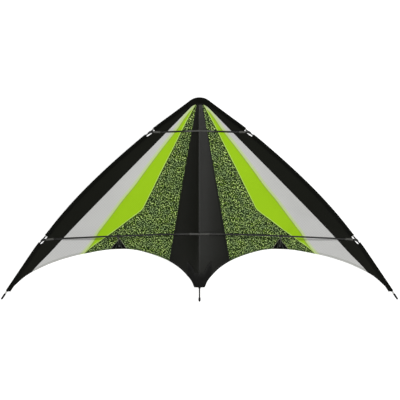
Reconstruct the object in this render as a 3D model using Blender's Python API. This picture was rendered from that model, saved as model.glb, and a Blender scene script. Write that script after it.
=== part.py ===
# Two-line stunt kite, parked on its back with the frame side up and the nose towards +Y.
# It is built flat in its own frame, u across, v towards the nose and n towards the flyer,
# under one empty that tilts it on to its nose and its two stand-off feet.
import math

import bmesh
import bpy
import numpy as np
from mathutils import Matrix, Vector

# Everything is in metres and radians. s is a depth below the nose, so v = -s.
parked_tilt = math.radians(12.5)
cloth = 0.001
gap = 0.0003
patch_cloth = 0.0006

# Outer edge of the leading edge, (s, half width), and the trailing edge, (u, s).
edge_knots = [(0.0, 0.0189), (0.060, 0.0995), (0.121, 0.1818), (0.158, 0.2278), (0.206, 0.2845),
              (0.303, 0.3924), (0.399, 0.4892), (0.496, 0.5747), (0.545, 0.6135), (0.593, 0.6533),
              (0.641, 0.6868), (0.690, 0.7198), (0.810, 0.8008)]
trailing_knots = [(0.021, 0.764), (0.028, 0.746), (0.036, 0.7325), (0.048, 0.7175),
                  (0.069, 0.695), (0.089, 0.679), (0.129, 0.655), (0.170, 0.638),
                  (0.210, 0.6255), (0.250, 0.6155), (0.290, 0.6103), (0.331, 0.6103),
                  (0.371, 0.6123), (0.411, 0.6175), (0.451, 0.6250), (0.492, 0.6330),
                  (0.532, 0.6430), (0.572, 0.6553), (0.613, 0.6703), (0.653, 0.6890),
                  (0.693, 0.7110), (0.733, 0.7485), (0.7656, 0.7872)]

# Seams between the panels, (s, u).
centre_seam = [(0.025, 0.01046), (0.660, 0.1214)]
pattern_seam = [(0.025, 0.0126), (0.093, 0.0492), (0.206, 0.1062), (0.303, 0.1560),
                (0.399, 0.2035), (0.436, 0.2225), (0.452, 0.2315), (0.464, 0.2455),
                (0.496, 0.2887), (0.528, 0.3305), (0.577, 0.3982), (0.609, 0.4433),
                (0.626, 0.4625)]
lime_seam = [(0.025, 0.0165), (0.077, 0.0536), (0.125, 0.0881), (0.206, 0.1523),
             (0.303, 0.2257), (0.351, 0.2603), (0.4155, 0.3135), (0.480, 0.3620),
             (0.528, 0.3990), (0.5445, 0.4119), (0.577, 0.4295), (0.609, 0.4530),
             (0.628, 0.4695)]
grey_seam = [(0.025, 0.0207), (0.350, 0.3441), (0.689, 0.6755), (0.711, 0.6930)]

panel_top = 0.025
rows = 20
ridge_depth = 0.002
ridge_round = 0.008
# Past this share of the way to the feet the sail stops getting deeper, over the second share.
deepening_stops = 1.02
deepening_fade = 0.08

# Leading edge sleeve and the spars in it.
spar_radius = 0.003
sleeve_outer = 0.0041
sleeve_wall = 0.0008
sleeve_start = 0.0121
sleeve_end = 0.778
flange_reach = 0.012
flange_gap = 0.0005
panel_reach = 0.006
notch_reach = 0.008
notch_length = 0.042
upper_notch_s = 0.1345
lower_notch_s = 0.5700

spine_radius = 0.003
spine_n = -0.0059
spine_start = 0.007
spine_end = 0.803

spreader_n = 0.005
upper_spreader_s = 0.1374
upper_spreader_radius = 0.00275
lower_spreader_s = 0.5513
lower_spreader_radius = 0.003
lower_spreader_fall = 21.0 / 631.0
boss_radius = 0.0053
arm_radius = 0.0045
upper_arm_end = 0.149
lower_arm_end = 0.556

stand_off_u = 0.328
foot_s = 0.600
stand_off_radius = 0.002
foot_disc_radius = 0.007
foot_disc_low = -0.0040
pivot_height = 0.0084

nose_radius = 0.057
nose_edge_slope = 1.343
nose_cover_end = 0.0286
nose_lowest = -0.00918

# The sail is as deep at the stand-offs as puts the feet and the nose on one floor.
foot_depth = (foot_s * math.sin(parked_tilt) + foot_disc_low - nose_lowest) / math.cos(parked_tilt)

black = (0.012, 0.013, 0.011)
rubber = (0.045, 0.045, 0.045)
rod_grey = (0.06, 0.06, 0.06)
lime = (0.30, 0.55, 0.012)
pattern_green = (0.09, 0.13, 0.045)
pale_grey = (0.51, 0.51, 0.49)


def clear_scene():
    for item in list(bpy.data.objects):
        bpy.data.objects.remove(item, do_unlink=True)


def spline(knots, x):
    """Smooth curve through the knots, straight beyond both ends."""
    xs, ys = np.array(knots, float).T
    x = np.asarray(x, float)
    slope = np.gradient(ys, xs)
    inside = np.clip(x, xs[0], xs[-1])
    i = np.clip(np.searchsorted(xs, inside) - 1, 0, len(xs) - 2)
    h = xs[i + 1] - xs[i]
    t = (inside - xs[i]) / h
    value = ((2 * t**3 - 3 * t**2 + 1) * ys[i] + (t**3 - 2 * t**2 + t) * h * slope[i]
             + (-2 * t**3 + 3 * t**2) * ys[i + 1] + (t**3 - t**2) * h * slope[i + 1])
    return value + (x - inside) * np.where(x < xs[0], slope[0], slope[-1])


def trailing(u):
    u = np.abs(u)
    return np.where(u < trailing_knots[0][0], trailing_knots[0][1], spline(trailing_knots, u))


def seam_end(knots):
    """Depth at which a seam meets the trailing edge."""
    s = np.linspace(0.55, 0.79, 2401)
    past = s - trailing(spline(knots, s))
    return float(s[np.argmax(past > 0)]) if (past > 0).any() else knots[-1][0]


def edge_normal(s):
    """Unit normal of the leading edge, pointing into the sail, as (u, v)."""
    slope = (spline(edge_knots, s + 0.001) - spline(edge_knots, s - 0.001)) / 0.002
    length = np.sqrt(1 + slope**2)
    return np.stack([-1 / length, -slope / length], -1)


def leading(s, inward):
    """Point at a distance inward from the leading edge's outer line, as (u, v)."""
    s = np.asarray(s, float)
    point = np.stack([spline(edge_knots, s), -s], -1)
    return point + edge_normal(s) * np.asarray(inward)[..., None]


spar_s = np.linspace(0.0, 0.82, 400)
spar_line = leading(spar_s, sleeve_outer)


def sail_n(u, v):
    """Height of the sail's middle surface: flat at the spars, a ridge over the spine."""
    u = np.abs(u)
    half = np.interp(-v, -spar_line[:, 1], spar_line[:, 0])
    half = np.maximum(half, u)
    across = np.sqrt(u**2 + ridge_round**2) - ridge_round
    across = across / (np.sqrt(half**2 + ridge_round**2) - ridge_round)
    down = np.maximum(-v, 0) / foot_s
    past = np.maximum(down - deepening_stops, 0)
    down = np.minimum(down, deepening_stops) + deepening_fade * (1 - np.exp(-past / deepening_fade))
    down = down**1.15
    deep = foot_depth - 0.5 * ridge_depth
    return -ridge_depth * (1 - u / half) - deep * down * np.sin(np.pi * across)


def lift(flat, offset):
    """Flat (u, v) points on the sail, moved by offset along the sail's normal."""
    u = flat[..., 0]
    v = flat[..., 1]
    step = 0.0005
    du = (sail_n(u + step, v) - sail_n(u - step, v)) / (2 * step)
    dv = (sail_n(u, v + step) - sail_n(u, v - step)) / (2 * step)
    normal = np.stack([-du, -dv, np.ones_like(du)], -1)
    normal /= np.linalg.norm(normal, axis=-1, keepdims=True)
    return np.stack([u, v, sail_n(u, v)], -1) + normal * offset


def coons(left, right, top, bottom):
    """Grid of points inside four edges, left and right by rows, top and bottom by columns."""
    t = row_share()[:, None, None]
    c = np.linalg.norm(bottom - bottom[0], axis=-1)
    c = (c / c[-1])[None, :, None]
    sides = (1 - c) * left[:, None] + c * right[:, None]
    ends = (1 - t) * top[None] + t * bottom[None]
    corners = ((1 - c) * (1 - t) * left[0] + c * (1 - t) * right[0]
               + (1 - c) * t * left[-1] + c * t * right[-1])
    return sides + ends - corners


def material(name, colour, roughness):
    made = bpy.data.materials.new(name)
    made.use_nodes = True
    shader = made.node_tree.nodes["Principled BSDF"]
    shader.inputs["Base Color"].default_value = (*colour, 1)
    shader.inputs["Roughness"].default_value = roughness
    return made


def finish(name, bm, colour, roughness=0.6, parent=None):
    bmesh.ops.remove_doubles(bm, verts=bm.verts, dist=1e-7)
    bmesh.ops.recalc_face_normals(bm, faces=bm.faces)
    mesh = bpy.data.meshes.new(name)
    bm.to_mesh(mesh)
    bm.free()
    made = bpy.data.objects.new(name, mesh)
    bpy.context.scene.collection.objects.link(made)
    made.data.materials.append(material(name, colour, roughness))
    made.parent = parent
    return made


def sheet(name, upper, lower, colour, roughness=0.6, parent=None):
    """Closed solid between two grids of points that lie over one another."""
    bm = bmesh.new()
    high = [[bm.verts.new(p) for p in row] for row in upper]
    low = [[bm.verts.new(p) for p in row] for row in lower]
    last_row = len(high) - 1
    last_column = len(high[0]) - 1
    for i in range(last_row):
        for j in range(last_column):
            bm.faces.new((high[i][j], high[i][j + 1], high[i + 1][j + 1], high[i + 1][j]))
            bm.faces.new((low[i][j], low[i + 1][j], low[i + 1][j + 1], low[i][j + 1]))
        for j in (0, last_column):
            bm.faces.new((high[i][j], high[i + 1][j], low[i + 1][j], low[i][j]))
    for j in range(last_column):
        for i in (0, last_row):
            bm.faces.new((high[i][j], high[i][j + 1], low[i][j + 1], low[i][j]))
    return finish(name, bm, colour, roughness, parent)


def cylinder_mesh(bm, start, end, radius, end_radius=None, sides=16):
    start = Vector(start)
    end = Vector(end)
    axis = end - start
    turn = axis.to_track_quat("Z", "Y").to_matrix().to_4x4()
    place = Matrix.Translation((start + end) / 2) @ turn
    bmesh.ops.create_cone(bm, cap_ends=True, segments=sides, radius1=radius,
                          radius2=radius if end_radius is None else end_radius,
                          depth=axis.length, matrix=place)


def cylinder(name, start, end, radius, colour, end_radius=None, sides=16, parent=None):
    bm = bmesh.new()
    cylinder_mesh(bm, start, end, radius, end_radius, sides)
    return finish(name, bm, colour, 0.45, parent)


def box(name, low, high, colour, parent=None):
    bm = bmesh.new()
    bmesh.ops.create_cube(bm, size=1)
    low = Vector(low)
    high = Vector(high)
    size = high - low
    bmesh.ops.scale(bm, vec=size, verts=bm.verts)
    bmesh.ops.translate(bm, vec=(low + high) / 2, verts=bm.verts)
    return finish(name, bm, colour, 0.6, parent)


def cut(target, tool, operation="DIFFERENCE"):
    """Join or cut with a hidden helper piece, which stays out of the part."""
    step = target.modifiers.new(tool.name, "BOOLEAN")
    step.operation = operation
    step.solver = "EXACT"
    step.object = tool
    with bpy.context.temp_override(object=target, active_object=target):
        bpy.ops.object.modifier_apply(modifier=step.name)
    bpy.data.objects.remove(tool, do_unlink=True)


def mirror_grid(grid):
    return grid * np.array([-1.0, 1.0, 1.0])


def sides_of(name, upper, lower, colour, frame):
    right = sheet("right_" + name, upper, lower, colour, parent=frame)
    left = sheet("left_" + name, mirror_grid(upper), mirror_grid(lower), colour, parent=frame)
    return left, right


def row_share():
    """Shares of a seam's length at its rows, closer together near the nose."""
    return np.linspace(0, 1, rows + 1)**1.3


def seam_points(knots, shift):
    """Rows of points down one seam, moved a little sideways to leave the gap."""
    end = seam_end(knots)
    s = panel_top + (end - panel_top) * row_share()
    return np.stack([spline(knots, s) + shift, -s], -1)


def panel_between(name, inner, outer, columns, colour, frame):
    left = seam_points(inner, gap)
    right = seam_points(outer, -gap)
    c = np.linspace(0, 1, columns + 1)[:, None]
    top = left[0] * (1 - c) + right[0] * c
    u = left[-1, 0] * (1 - c[:, 0]) + right[-1, 0] * c[:, 0]
    bottom = np.stack([u, -trailing(u)], -1)
    bottom[0] = left[-1]
    bottom[-1] = right[-1]
    flat = coons(left, right, top, bottom)
    return sides_of(name, lift(flat, cloth / 2), lift(flat, -cloth / 2), colour, frame)


def centre_grid():
    outer = seam_points(centre_seam, -gap)
    inner = outer * np.array([-1.0, 1.0])
    share = np.array([0, 0.06, 0.14, 0.26, 0.42, 0.70, 1.0])
    share = np.concatenate([-share[:0:-1], share])
    top = outer[0] * np.stack([share, np.ones_like(share)], -1)
    u = outer[-1, 0] * share
    bottom = np.stack([u, -trailing(u)], -1)
    bottom[0] = inner[-1]
    bottom[-1] = outer[-1]
    t = row_share()[:, None, None]
    c = ((share + 1) / 2)[None, :, None]
    sides = (1 - c) * inner[:, None] + c * outer[:, None]
    ends = (1 - t) * top[None] + t * bottom[None]
    corners = ((1 - c) * (1 - t) * inner[0] + c * (1 - t) * outer[0]
               + (1 - c) * t * inner[-1] + c * t * outer[-1])
    return sides + ends - corners


def centre_panel(frame):
    flat = centre_grid()
    made = sheet("centre_panel", lift(flat, cloth / 2), lift(flat, -cloth / 2), black, parent=frame)
    tool = box("t_opening", (-0.0065, -lower_spreader_s - 0.019, -0.02),
               (0.0065, -lower_spreader_s + 0.019, 0.02), black, frame)
    cut(made, tool)
    part = flat[-2:, 2:11]
    lift_by = cloth / 2 + gap
    sheet("tail_patch", lift(part, lift_by + patch_cloth), lift(part, lift_by), black, parent=frame)


def edge_stations():
    return sleeve_start + (sleeve_end - sleeve_start) * row_share()


def edge_panel(frame):
    s = edge_stations()
    left = seam_points(grey_seam, gap)
    right = leading(s, sleeve_outer + flange_reach)
    strip = leading(s, sleeve_outer + panel_reach)
    c = np.linspace(0, 1, 5)[:, None]
    top = left[0] * (1 - c) + right[0] * c
    u = left[-1, 0] * (1 - c[:, 0]) + right[-1, 0] * c[:, 0]
    bottom = np.stack([u, -trailing(u)], -1)
    bottom[0] = left[-1]
    bottom[-1] = right[-1]
    flat = np.concatenate([coons(left, right, top, bottom), strip[:, None]], 1)
    pair = sides_of("edge_panel", lift(flat, cloth / 2), lift(flat, -cloth / 2), black, frame)
    for side, made in zip((-1, 1), pair):
        cut_notches(made, side, frame)


def cut_notches(made, side, frame):
    for s in (upper_notch_s, lower_notch_s):
        middle = leading(s, sleeve_outer)
        inward = edge_normal(s)
        along = np.array([-inward[1], inward[0]])
        bm = bmesh.new()
        bmesh.ops.create_cube(bm, size=1)
        reach = 0.02 + notch_reach
        centre = middle + inward * (notch_reach - reach / 2)
        for vert in bm.verts:
            x = vert.co.x * notch_length
            y = vert.co.y * reach
            u, v = centre + along * x + inward * y
            vert.co = Vector((side * u, v, vert.co.z * 0.04))
        cut(made, finish("notch_tool", bm, black, parent=frame))


def sleeve(frame):
    """Cloth that runs from the front of the sail round the spar to its back."""
    s = edge_stations()
    turns = np.radians([42, 70, 100, 135, 180, 225, 260, 290, 318])
    tilt_reach = leading(s, sleeve_outer + 0.006)
    spar = leading(s, sleeve_outer)
    inward = edge_normal(s)
    tilt = np.arctan2(sail_n(tilt_reach[:, 0], tilt_reach[:, 1]), 0.006)
    grids = []
    for radius, lift_by in ((sleeve_outer, cloth / 2 + flange_gap + sleeve_wall),
                            (sleeve_outer - sleeve_wall, cloth / 2 + flange_gap)):
        front = [lift(leading(s, sleeve_outer + a), lift_by) for a in (0.012, 0.0085, 0.0052)]
        back = [lift(leading(s, sleeve_outer + a), -lift_by) for a in (0.0052, 0.0085, 0.012)]
        ring = []
        for turn in turns:
            a = radius * np.cos(turn + tilt)
            n = radius * np.sin(turn + tilt)
            ring.append(np.concatenate([spar + inward * a[:, None], n[:, None]], 1))
        grids.append(np.stack(front + ring + back, 1))
    pair = sides_of("leading_edge_sleeve", grids[0], grids[1], black, frame)
    for side, made in zip((-1, 1), pair):
        cut_notches(made, side, frame)


def leading_spar(frame):
    s = np.concatenate([edge_stations(), [0.789, 0.800]])
    spar = leading(s, sleeve_outer)
    inward = edge_normal(s)
    for side, name in ((-1, "left_leading_edge_spar"), (1, "right_leading_edge_spar")):
        bm = bmesh.new()
        rings = []
        for point, into in zip(spar, inward):
            ring = []
            for turn in np.linspace(0, 2 * np.pi, 12, endpoint=False):
                u, v = point + into * spar_radius * math.cos(turn)
                ring.append(bm.verts.new((side * u, v, spar_radius * math.sin(turn))))
            rings.append(ring)
        for one, two in zip(rings, rings[1:]):
            for i in range(12):
                bm.faces.new((one[i], one[(i + 1) % 12], two[(i + 1) % 12], two[i]))
        bm.faces.new(rings[0])
        bm.faces.new(rings[-1])
        finish(name, bm, rod_grey, 0.35, frame)


def along_spar(s):
    u, v = leading(s, sleeve_outer)
    return Vector((u, v, 0))


def capped_end(name, start, end, rod_end, bore, radius, tip_radius, frame):
    """Cap over a rod's end: open at its start, with a tapered tip."""
    start = Vector(start)
    end = Vector(end)
    step = (end - start).normalized()
    made = cylinder(name, start, end, radius, black, tip_radius, parent=frame)
    cut(made, cylinder("cap_tool", start - step * 0.002, rod_end, bore, black, parent=frame))


def wing_tip_caps(frame):
    start = along_spar(0.790)
    end = along_spar(0.809)
    rod_end = along_spar(0.8006)
    for side, name in ((-1, "left_wing_tip_cap"), (1, "right_wing_tip_cap")):
        flip = Vector((side, 1, 1))
        capped_end(name, start * flip, end * flip, rod_end * flip, spar_radius + gap,
                   0.0045, 0.0034, frame)


def spine(frame):
    cylinder("spine", (0, -spine_start, spine_n), (0, -spine_end, spine_n), spine_radius,
             rod_grey, parent=frame)
    capped_end("tail_cap", (0, -0.798, spine_n), (0, -0.8215, spine_n),
               (0, -spine_end - 0.0006, spine_n), spine_radius + gap, 0.0043, 0.002, frame)
    collar = cylinder("tail_collar", (0, -0.765, spine_n), (0, -0.773, spine_n), 0.0056,
                      black, parent=frame)
    cut(collar, cylinder("collar_tool", (0, -0.76, spine_n), (0, -0.78, spine_n),
                         spine_radius + gap, black, parent=frame))


def spreaders(frame):
    reach = abs(along_spar(upper_notch_s).x) - 0.0069
    cylinder("upper_spreader", (-reach, -upper_spreader_s, spreader_n),
             (reach, -upper_spreader_s, spreader_n), upper_spreader_radius, rod_grey, parent=frame)
    for side, name in ((-1, "left_lower_spreader"), (1, "right_lower_spreader")):
        cylinder(name, lower_spreader_at(side * 0.0086), lower_spreader_at(side * 0.6225),
                 lower_spreader_radius, rod_grey, parent=frame)


def lower_spreader_at(u):
    return Vector((u, -lower_spreader_s - abs(u) * lower_spreader_fall, spreader_n))


def connector(name, side, boss_at, along, arm_end, arm_start, bore, frame):
    """Rubber fitting: a boss round the spar and a socket for the spreader's end."""
    flip = Vector((side, 1, 1))
    boss_at = boss_at * flip
    along = along * flip
    arm_end = arm_end * flip
    arm_start = arm_start * flip
    out = (arm_end - arm_start).normalized()
    made = cylinder(name, boss_at - along * 0.011, boss_at + along * 0.011, boss_radius,
                    rubber, parent=frame)
    made.data.materials[0].node_tree.nodes["Principled BSDF"].inputs["Roughness"].default_value = 0.7
    cut(made, cylinder("arm_tool", arm_start, arm_end, arm_radius, rubber, parent=frame), "UNION")
    cut(made, cylinder("bore_tool", boss_at - along * 0.03, boss_at + along * 0.03,
                       spar_radius + gap, rubber, parent=frame))
    cut(made, cylinder("socket_tool", arm_start + out * 0.0068, arm_end + out * 0.02, bore,
                       rubber, parent=frame))


def connectors(frame):
    for side, word in ((-1, "left"), (1, "right")):
        for s, arm_u, radius, row in ((upper_notch_s, upper_arm_end, upper_spreader_radius, "upper"),
                                      (lower_notch_s, lower_arm_end, lower_spreader_radius, "lower")):
            boss_at = along_spar(s)
            along = (along_spar(s + 0.002) - along_spar(s - 0.002)).normalized()
            if row == "upper":
                start = Vector((boss_at.x, -upper_spreader_s, spreader_n))
                end = Vector((arm_u, -upper_spreader_s, spreader_n))
            else:
                start = lower_spreader_at(boss_at.x)
                end = lower_spreader_at(arm_u)
            connector(word + "_" + row + "_connector", side, boss_at, along, end, start,
                      radius + gap, frame)


def centre_fitting(frame):
    """Joins the spine behind the sail to both lower spreaders in front of it."""
    v = -lower_spreader_s
    made = cylinder("centre_fitting", (0, v - 0.017, spine_n), (0, v + 0.017, spine_n), 0.0055,
                    rubber, parent=frame)
    cut(made, box("block_tool", (-0.0055, v - 0.012, spine_n), (0.0055, v + 0.012, spreader_n),
                  rubber, frame), "UNION")
    for side in (-1, 1):
        cut(made, cylinder("arm_tool", lower_spreader_at(0), lower_spreader_at(side * 0.040),
                           0.005, rubber, parent=frame), "UNION")
        cut(made, cylinder("rim_tool", lower_spreader_at(side * 0.033),
                           lower_spreader_at(side * 0.0395), 0.006, rubber, parent=frame), "UNION")
    for side in (-1, 1):
        cut(made, cylinder("socket_tool", lower_spreader_at(side * 0.0083),
                           lower_spreader_at(side * 0.06), lower_spreader_radius + gap,
                           rubber, parent=frame))
    cut(made, cylinder("bore_tool", (0, v - 0.03, spine_n), (0, v + 0.03, spine_n),
                       spine_radius + gap, rubber, parent=frame))


def nose_outline(u):
    """Depth of the nose's outer edge: a round top between the straight leading edges."""
    u = np.abs(u)
    corner = nose_radius * math.sin(math.atan(1 / nose_edge_slope))
    top = nose_radius - np.sqrt(nose_radius**2 - np.minimum(u, corner)**2)
    return top + np.maximum(u - corner, 0) / nose_edge_slope


def nose_cover(frame):
    """Stiff cloth folded over the nose, open at its lower edge."""
    u = np.array([-0.0475, -0.041, -0.034, -0.026, -0.018, -0.009, 0,
                  0.009, 0.018, 0.026, 0.034, 0.041, 0.0475])
    slope = np.minimum(np.abs(u) / 0.034, 1) * math.atan(1 / nose_edge_slope)
    rise = 1 - np.clip((np.abs(u) - 0.009) / 0.0385, 0, 1)**2
    grids = []
    for wall in (0.0014, 0.0006):
        front = np.full_like(u, sleeve_outer + wall)
        back = sleeve_outer + wall + 0.0048 * rise
        top = nose_outline(u) - wall / np.cos(slope)
        fold = (sleeve_outer + wall) / np.cos(slope)
        points = [np.stack([u, np.full_like(u, -nose_cover_end), front], -1)]
        for turn in np.radians([90, 62, 30, 0, -30, -62, -90]):
            n = (front - back) / 2 + (front + back) / 2 * math.sin(turn)
            s = np.minimum(top + fold * (1 - math.cos(turn)), nose_cover_end - 0.0004)
            points.append(np.stack([u, -s, n], -1))
        points.append(np.stack([u, np.full_like(u, -nose_cover_end), -back], -1))
        grids.append(np.stack(points))
    sheet("nose_cover", grids[0], grids[1], black, parent=frame)


def stand_off_patches(frame):
    """Black corner patches that the stand-offs press on."""
    down = np.linspace(0, 1, 7)
    across = np.linspace(-1, 1, 7)
    s = 0.572 + (0.6095 - 0.572) * down
    half = 0.0015 + (0.0298 - 0.0015) * down
    middle = 0.3245 + 0.0012 * down
    flat = np.stack([middle[:, None] + half[:, None] * across[None],
                     np.repeat(-s[:, None], 7, 1)], -1)
    raised = cloth / 2 + 0.0012
    pair = sides_of("stand_off_patch", lift(flat, raised + patch_cloth), lift(flat, raised),
                    black, frame)
    return pair


def foot_point():
    n = float(sail_n(np.array([stand_off_u]), np.array([-foot_s]))[0])
    return Vector((stand_off_u, -foot_s, n))


def pivot_point():
    return foot_point() + upright() @ Vector((0, 0, pivot_height))


def upright():
    """Turns a piece drawn with Z up so that it stands upright on the floor."""
    return Matrix.Rotation(parked_tilt, 3, "X")


def cut_foot_holes():
    for side, word in ((-1, "left"), (1, "right")):
        point = foot_point() * Vector((side, 1, 1))
        up = upright() @ Vector((0, 0, 1))
        for name in (word + "_pattern_panel", word + "_stand_off_patch"):
            made = bpy.data.objects[name]
            cut(made, cylinder("hole_tool", point - up * 0.01, point + up * 0.01, 0.0032,
                               black, parent=made.parent))


def placed(bm, origin, turn):
    bmesh.ops.transform(bm, matrix=Matrix.Translation(origin) @ turn.to_4x4(), verts=bm.verts)


def local_piece(name, bm, origin, turn, colour, frame):
    placed(bm, origin, turn)
    return finish(name, bm, colour, 0.5, frame)


def local_cylinder(start, end, radius, origin, turn, frame, end_radius=None):
    bm = bmesh.new()
    cylinder_mesh(bm, start, end, radius, end_radius)
    return local_piece("helper", bm, origin, turn, black, frame)


def local_box(low, high, origin, turn, frame):
    bm = bmesh.new()
    bmesh.ops.create_cube(bm, size=1)
    low = Vector(low)
    high = Vector(high)
    bmesh.ops.scale(bm, vec=high - low, verts=bm.verts)
    bmesh.ops.translate(bm, vec=(low + high) / 2, verts=bm.verts)
    return local_piece("helper", bm, origin, turn, black, frame)


def sail_fittings(frame):
    """Button under the sail, post through it and a fork with a cross pin above it."""
    for side, word in ((-1, "left"), (1, "right")):
        origin = foot_point() * Vector((side, 1, 1))
        turn = upright()
        bm = bmesh.new()
        cylinder_mesh(bm, (0, 0, foot_disc_low), (0, 0, -0.0020), foot_disc_radius, sides=24)
        made = local_piece(word + "_sail_fitting", bm, origin, turn, rubber, frame)
        top = 0.0040
        parts = [local_cylinder((0, 0, -0.003), (0, 0, 0.0035), 0.0026, origin, turn, frame),
                 local_cylinder((0, 0, 0.0029), (0, 0, top), 0.0055, origin, turn, frame)]
        for low, high in ((-0.0052, -0.0034), (0.0034, 0.0052)):
            parts.append(local_box((low, -0.0028, top - 0.0006), (high, 0.0028, pivot_height),
                                   origin, turn, frame))
            parts.append(local_cylinder((low - 0.0002, 0, pivot_height),
                                        (high + 0.0002, 0, pivot_height), 0.0031,
                                        origin, turn, frame))
        parts.append(local_cylinder((-0.0045, 0, pivot_height), (0.0045, 0, pivot_height), 0.0012,
                                    origin, turn, frame))
        for piece in parts:
            cut(made, piece, "UNION")


def stand_offs(frame):
    """Rod with a hinged foot below and an open clip on the spreader above."""
    for side, word in ((-1, "left"), (1, "right")):
        pivot = pivot_point() * Vector((side, 1, 1))
        target = lower_spreader_at(side * stand_off_u)
        reach = target - pivot
        lean = -math.atan2(reach.y, reach.z)
        joint = bpy.data.objects.new(word + "_stand_off_axis", None)
        bpy.context.scene.collection.objects.link(joint)
        joint.parent = frame
        joint.location = pivot
        joint.rotation_euler = (lean, 0, 0)
        length = math.hypot(reach.y, reach.z)
        stand_off_foot(word, joint)
        cylinder(word + "_stand_off_rod", (0, 0, 0.0085), (0, 0, length - 0.0078),
                 stand_off_radius, rod_grey, parent=joint)
        stand_off_clip(word, length, joint)


def stand_off_foot(word, joint):
    name = word + "_stand_off_foot"
    made = cylinder(name, (0, 0, 0.0055), (0, 0, 0.020), 0.0038, rubber, parent=joint)
    cut(made, box("tongue_tool", (-0.0027, -0.0029, 0), (0.0027, 0.0029, 0.007), rubber, joint),
        "UNION")
    cut(made, cylinder("eye_tool", (-0.003, 0, 0), (0.003, 0, 0), 0.0032, rubber, parent=joint),
        "UNION")
    cut(made, cylinder("pin_hole_tool", (-0.01, 0, 0), (0.01, 0, 0), 0.0016, rubber, parent=joint))
    cut(made, cylinder("socket_tool", (0, 0, 0.0082), (0, 0, 0.03), stand_off_radius + gap,
                       rubber, parent=joint))


def stand_off_clip(word, length, joint):
    """Clip that opens towards the nose, so the stand-off can leave towards the tail."""
    name = word + "_stand_off_clip"
    made = cylinder(name, (-0.0045, 0, length), (0.0045, 0, length), 0.0058, rubber, sides=24,
                    parent=joint)
    cut(made, cylinder("stem_tool", (0, 0, length - 0.020), (0, 0, length - 0.0045), 0.0038,
                       rubber, parent=joint), "UNION")
    cut(made, cylinder("seat_tool", (-0.01, 0, length), (0.01, 0, length), 0.0037, rubber,
                       sides=24, parent=joint))
    cut(made, box("mouth_tool", (-0.01, 0, length - 0.0036), (0.01, 0.02, length + 0.0036),
                  rubber, joint))
    cut(made, cylinder("socket_tool", (0, 0, length - 0.03), (0, 0, length - 0.0075),
                       stand_off_radius + gap, rubber, parent=joint))


def park(frame):
    """Tilts the frame on to its nose and feet, centred over the origin."""
    frame.rotation_euler = (-parked_tilt, 0, 0)
    bpy.context.view_layer.update()
    corners = []
    for item in bpy.data.objects:
        if item.type == "MESH":
            corners += [item.matrix_world @ vert.co for vert in item.data.vertices]
    points = np.array(corners)
    low = points.min(0)
    high = points.max(0)
    frame.location = (0, -(low[1] + high[1]) / 2, -low[2])


def main():
    clear_scene()
    frame = bpy.data.objects.new("kite_frame", None)
    bpy.context.scene.collection.objects.link(frame)
    centre_panel(frame)
    panel_between("pattern_panel", centre_seam, pattern_seam, 10, pattern_green, frame)
    panel_between("lime_panel", pattern_seam, lime_seam, 4, lime, frame)
    panel_between("grey_panel", lime_seam, grey_seam, 6, pale_grey, frame)
    edge_panel(frame)
    sleeve(frame)
    leading_spar(frame)
    wing_tip_caps(frame)
    spine(frame)
    spreaders(frame)
    connectors(frame)
    centre_fitting(frame)
    nose_cover(frame)
    stand_off_patches(frame)
    cut_foot_holes()
    sail_fittings(frame)
    stand_offs(frame)
    park(frame)


main()
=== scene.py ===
# Two-line stunt kite lying on its back, frame side up, with its nose towards +Y.
# The soft pieces are worked out flat, u across and v towards the nose, then lifted
# on to the sail's surface by n, its height towards the flyer, and tilted as the kite lies.
import math

import bpy
import numpy as np
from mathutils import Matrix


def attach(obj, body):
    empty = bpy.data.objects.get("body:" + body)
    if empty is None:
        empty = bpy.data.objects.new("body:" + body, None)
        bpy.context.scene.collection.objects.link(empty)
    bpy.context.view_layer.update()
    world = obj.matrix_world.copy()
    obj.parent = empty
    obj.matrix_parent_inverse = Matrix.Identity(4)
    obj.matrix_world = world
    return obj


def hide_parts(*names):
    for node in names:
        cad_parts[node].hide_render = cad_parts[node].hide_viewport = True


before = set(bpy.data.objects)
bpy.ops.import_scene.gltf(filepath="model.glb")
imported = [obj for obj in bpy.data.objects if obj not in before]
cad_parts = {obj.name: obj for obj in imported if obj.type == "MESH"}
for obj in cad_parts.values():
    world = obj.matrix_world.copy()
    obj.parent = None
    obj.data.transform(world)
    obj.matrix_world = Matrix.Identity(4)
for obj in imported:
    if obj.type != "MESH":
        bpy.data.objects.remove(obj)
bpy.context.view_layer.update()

kiteLie = {
    "tilt": math.radians(12.5),      # nose low
    "place": (0.0, 0.401377, 0.009168),
}
wings = ((np.array([-1, 1, 1]), "left_"), (np.array([1, 1, 1]), "right_"))

# Outer line of the leading edge (depth below the nose s, half width u), and the trailing
# edge (u, s). Seams between the panels are (s, u). All in metres.
edgeKnots = [(0.0, 0.0189), (0.060, 0.0995), (0.121, 0.1818), (0.158, 0.2278), (0.206, 0.2845),
             (0.303, 0.3924), (0.399, 0.4892), (0.496, 0.5747), (0.545, 0.6135), (0.593, 0.6533),
             (0.641, 0.6868), (0.690, 0.7198), (0.810, 0.8008)]
trailingKnots = [(0.021, 0.764), (0.028, 0.746), (0.036, 0.7325), (0.048, 0.7175),
                 (0.069, 0.695), (0.089, 0.679), (0.129, 0.655), (0.170, 0.638),
                 (0.210, 0.6255), (0.250, 0.6155), (0.290, 0.6103), (0.331, 0.6103),
                 (0.371, 0.6123), (0.411, 0.6175), (0.451, 0.6250), (0.492, 0.6330),
                 (0.532, 0.6430), (0.572, 0.6553), (0.613, 0.6703), (0.653, 0.6890),
                 (0.693, 0.7110), (0.733, 0.7485), (0.7656, 0.7872)]
centreSeam = [(0.025, 0.0110), (0.200, 0.0430), (0.660, 0.1234)]
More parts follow.
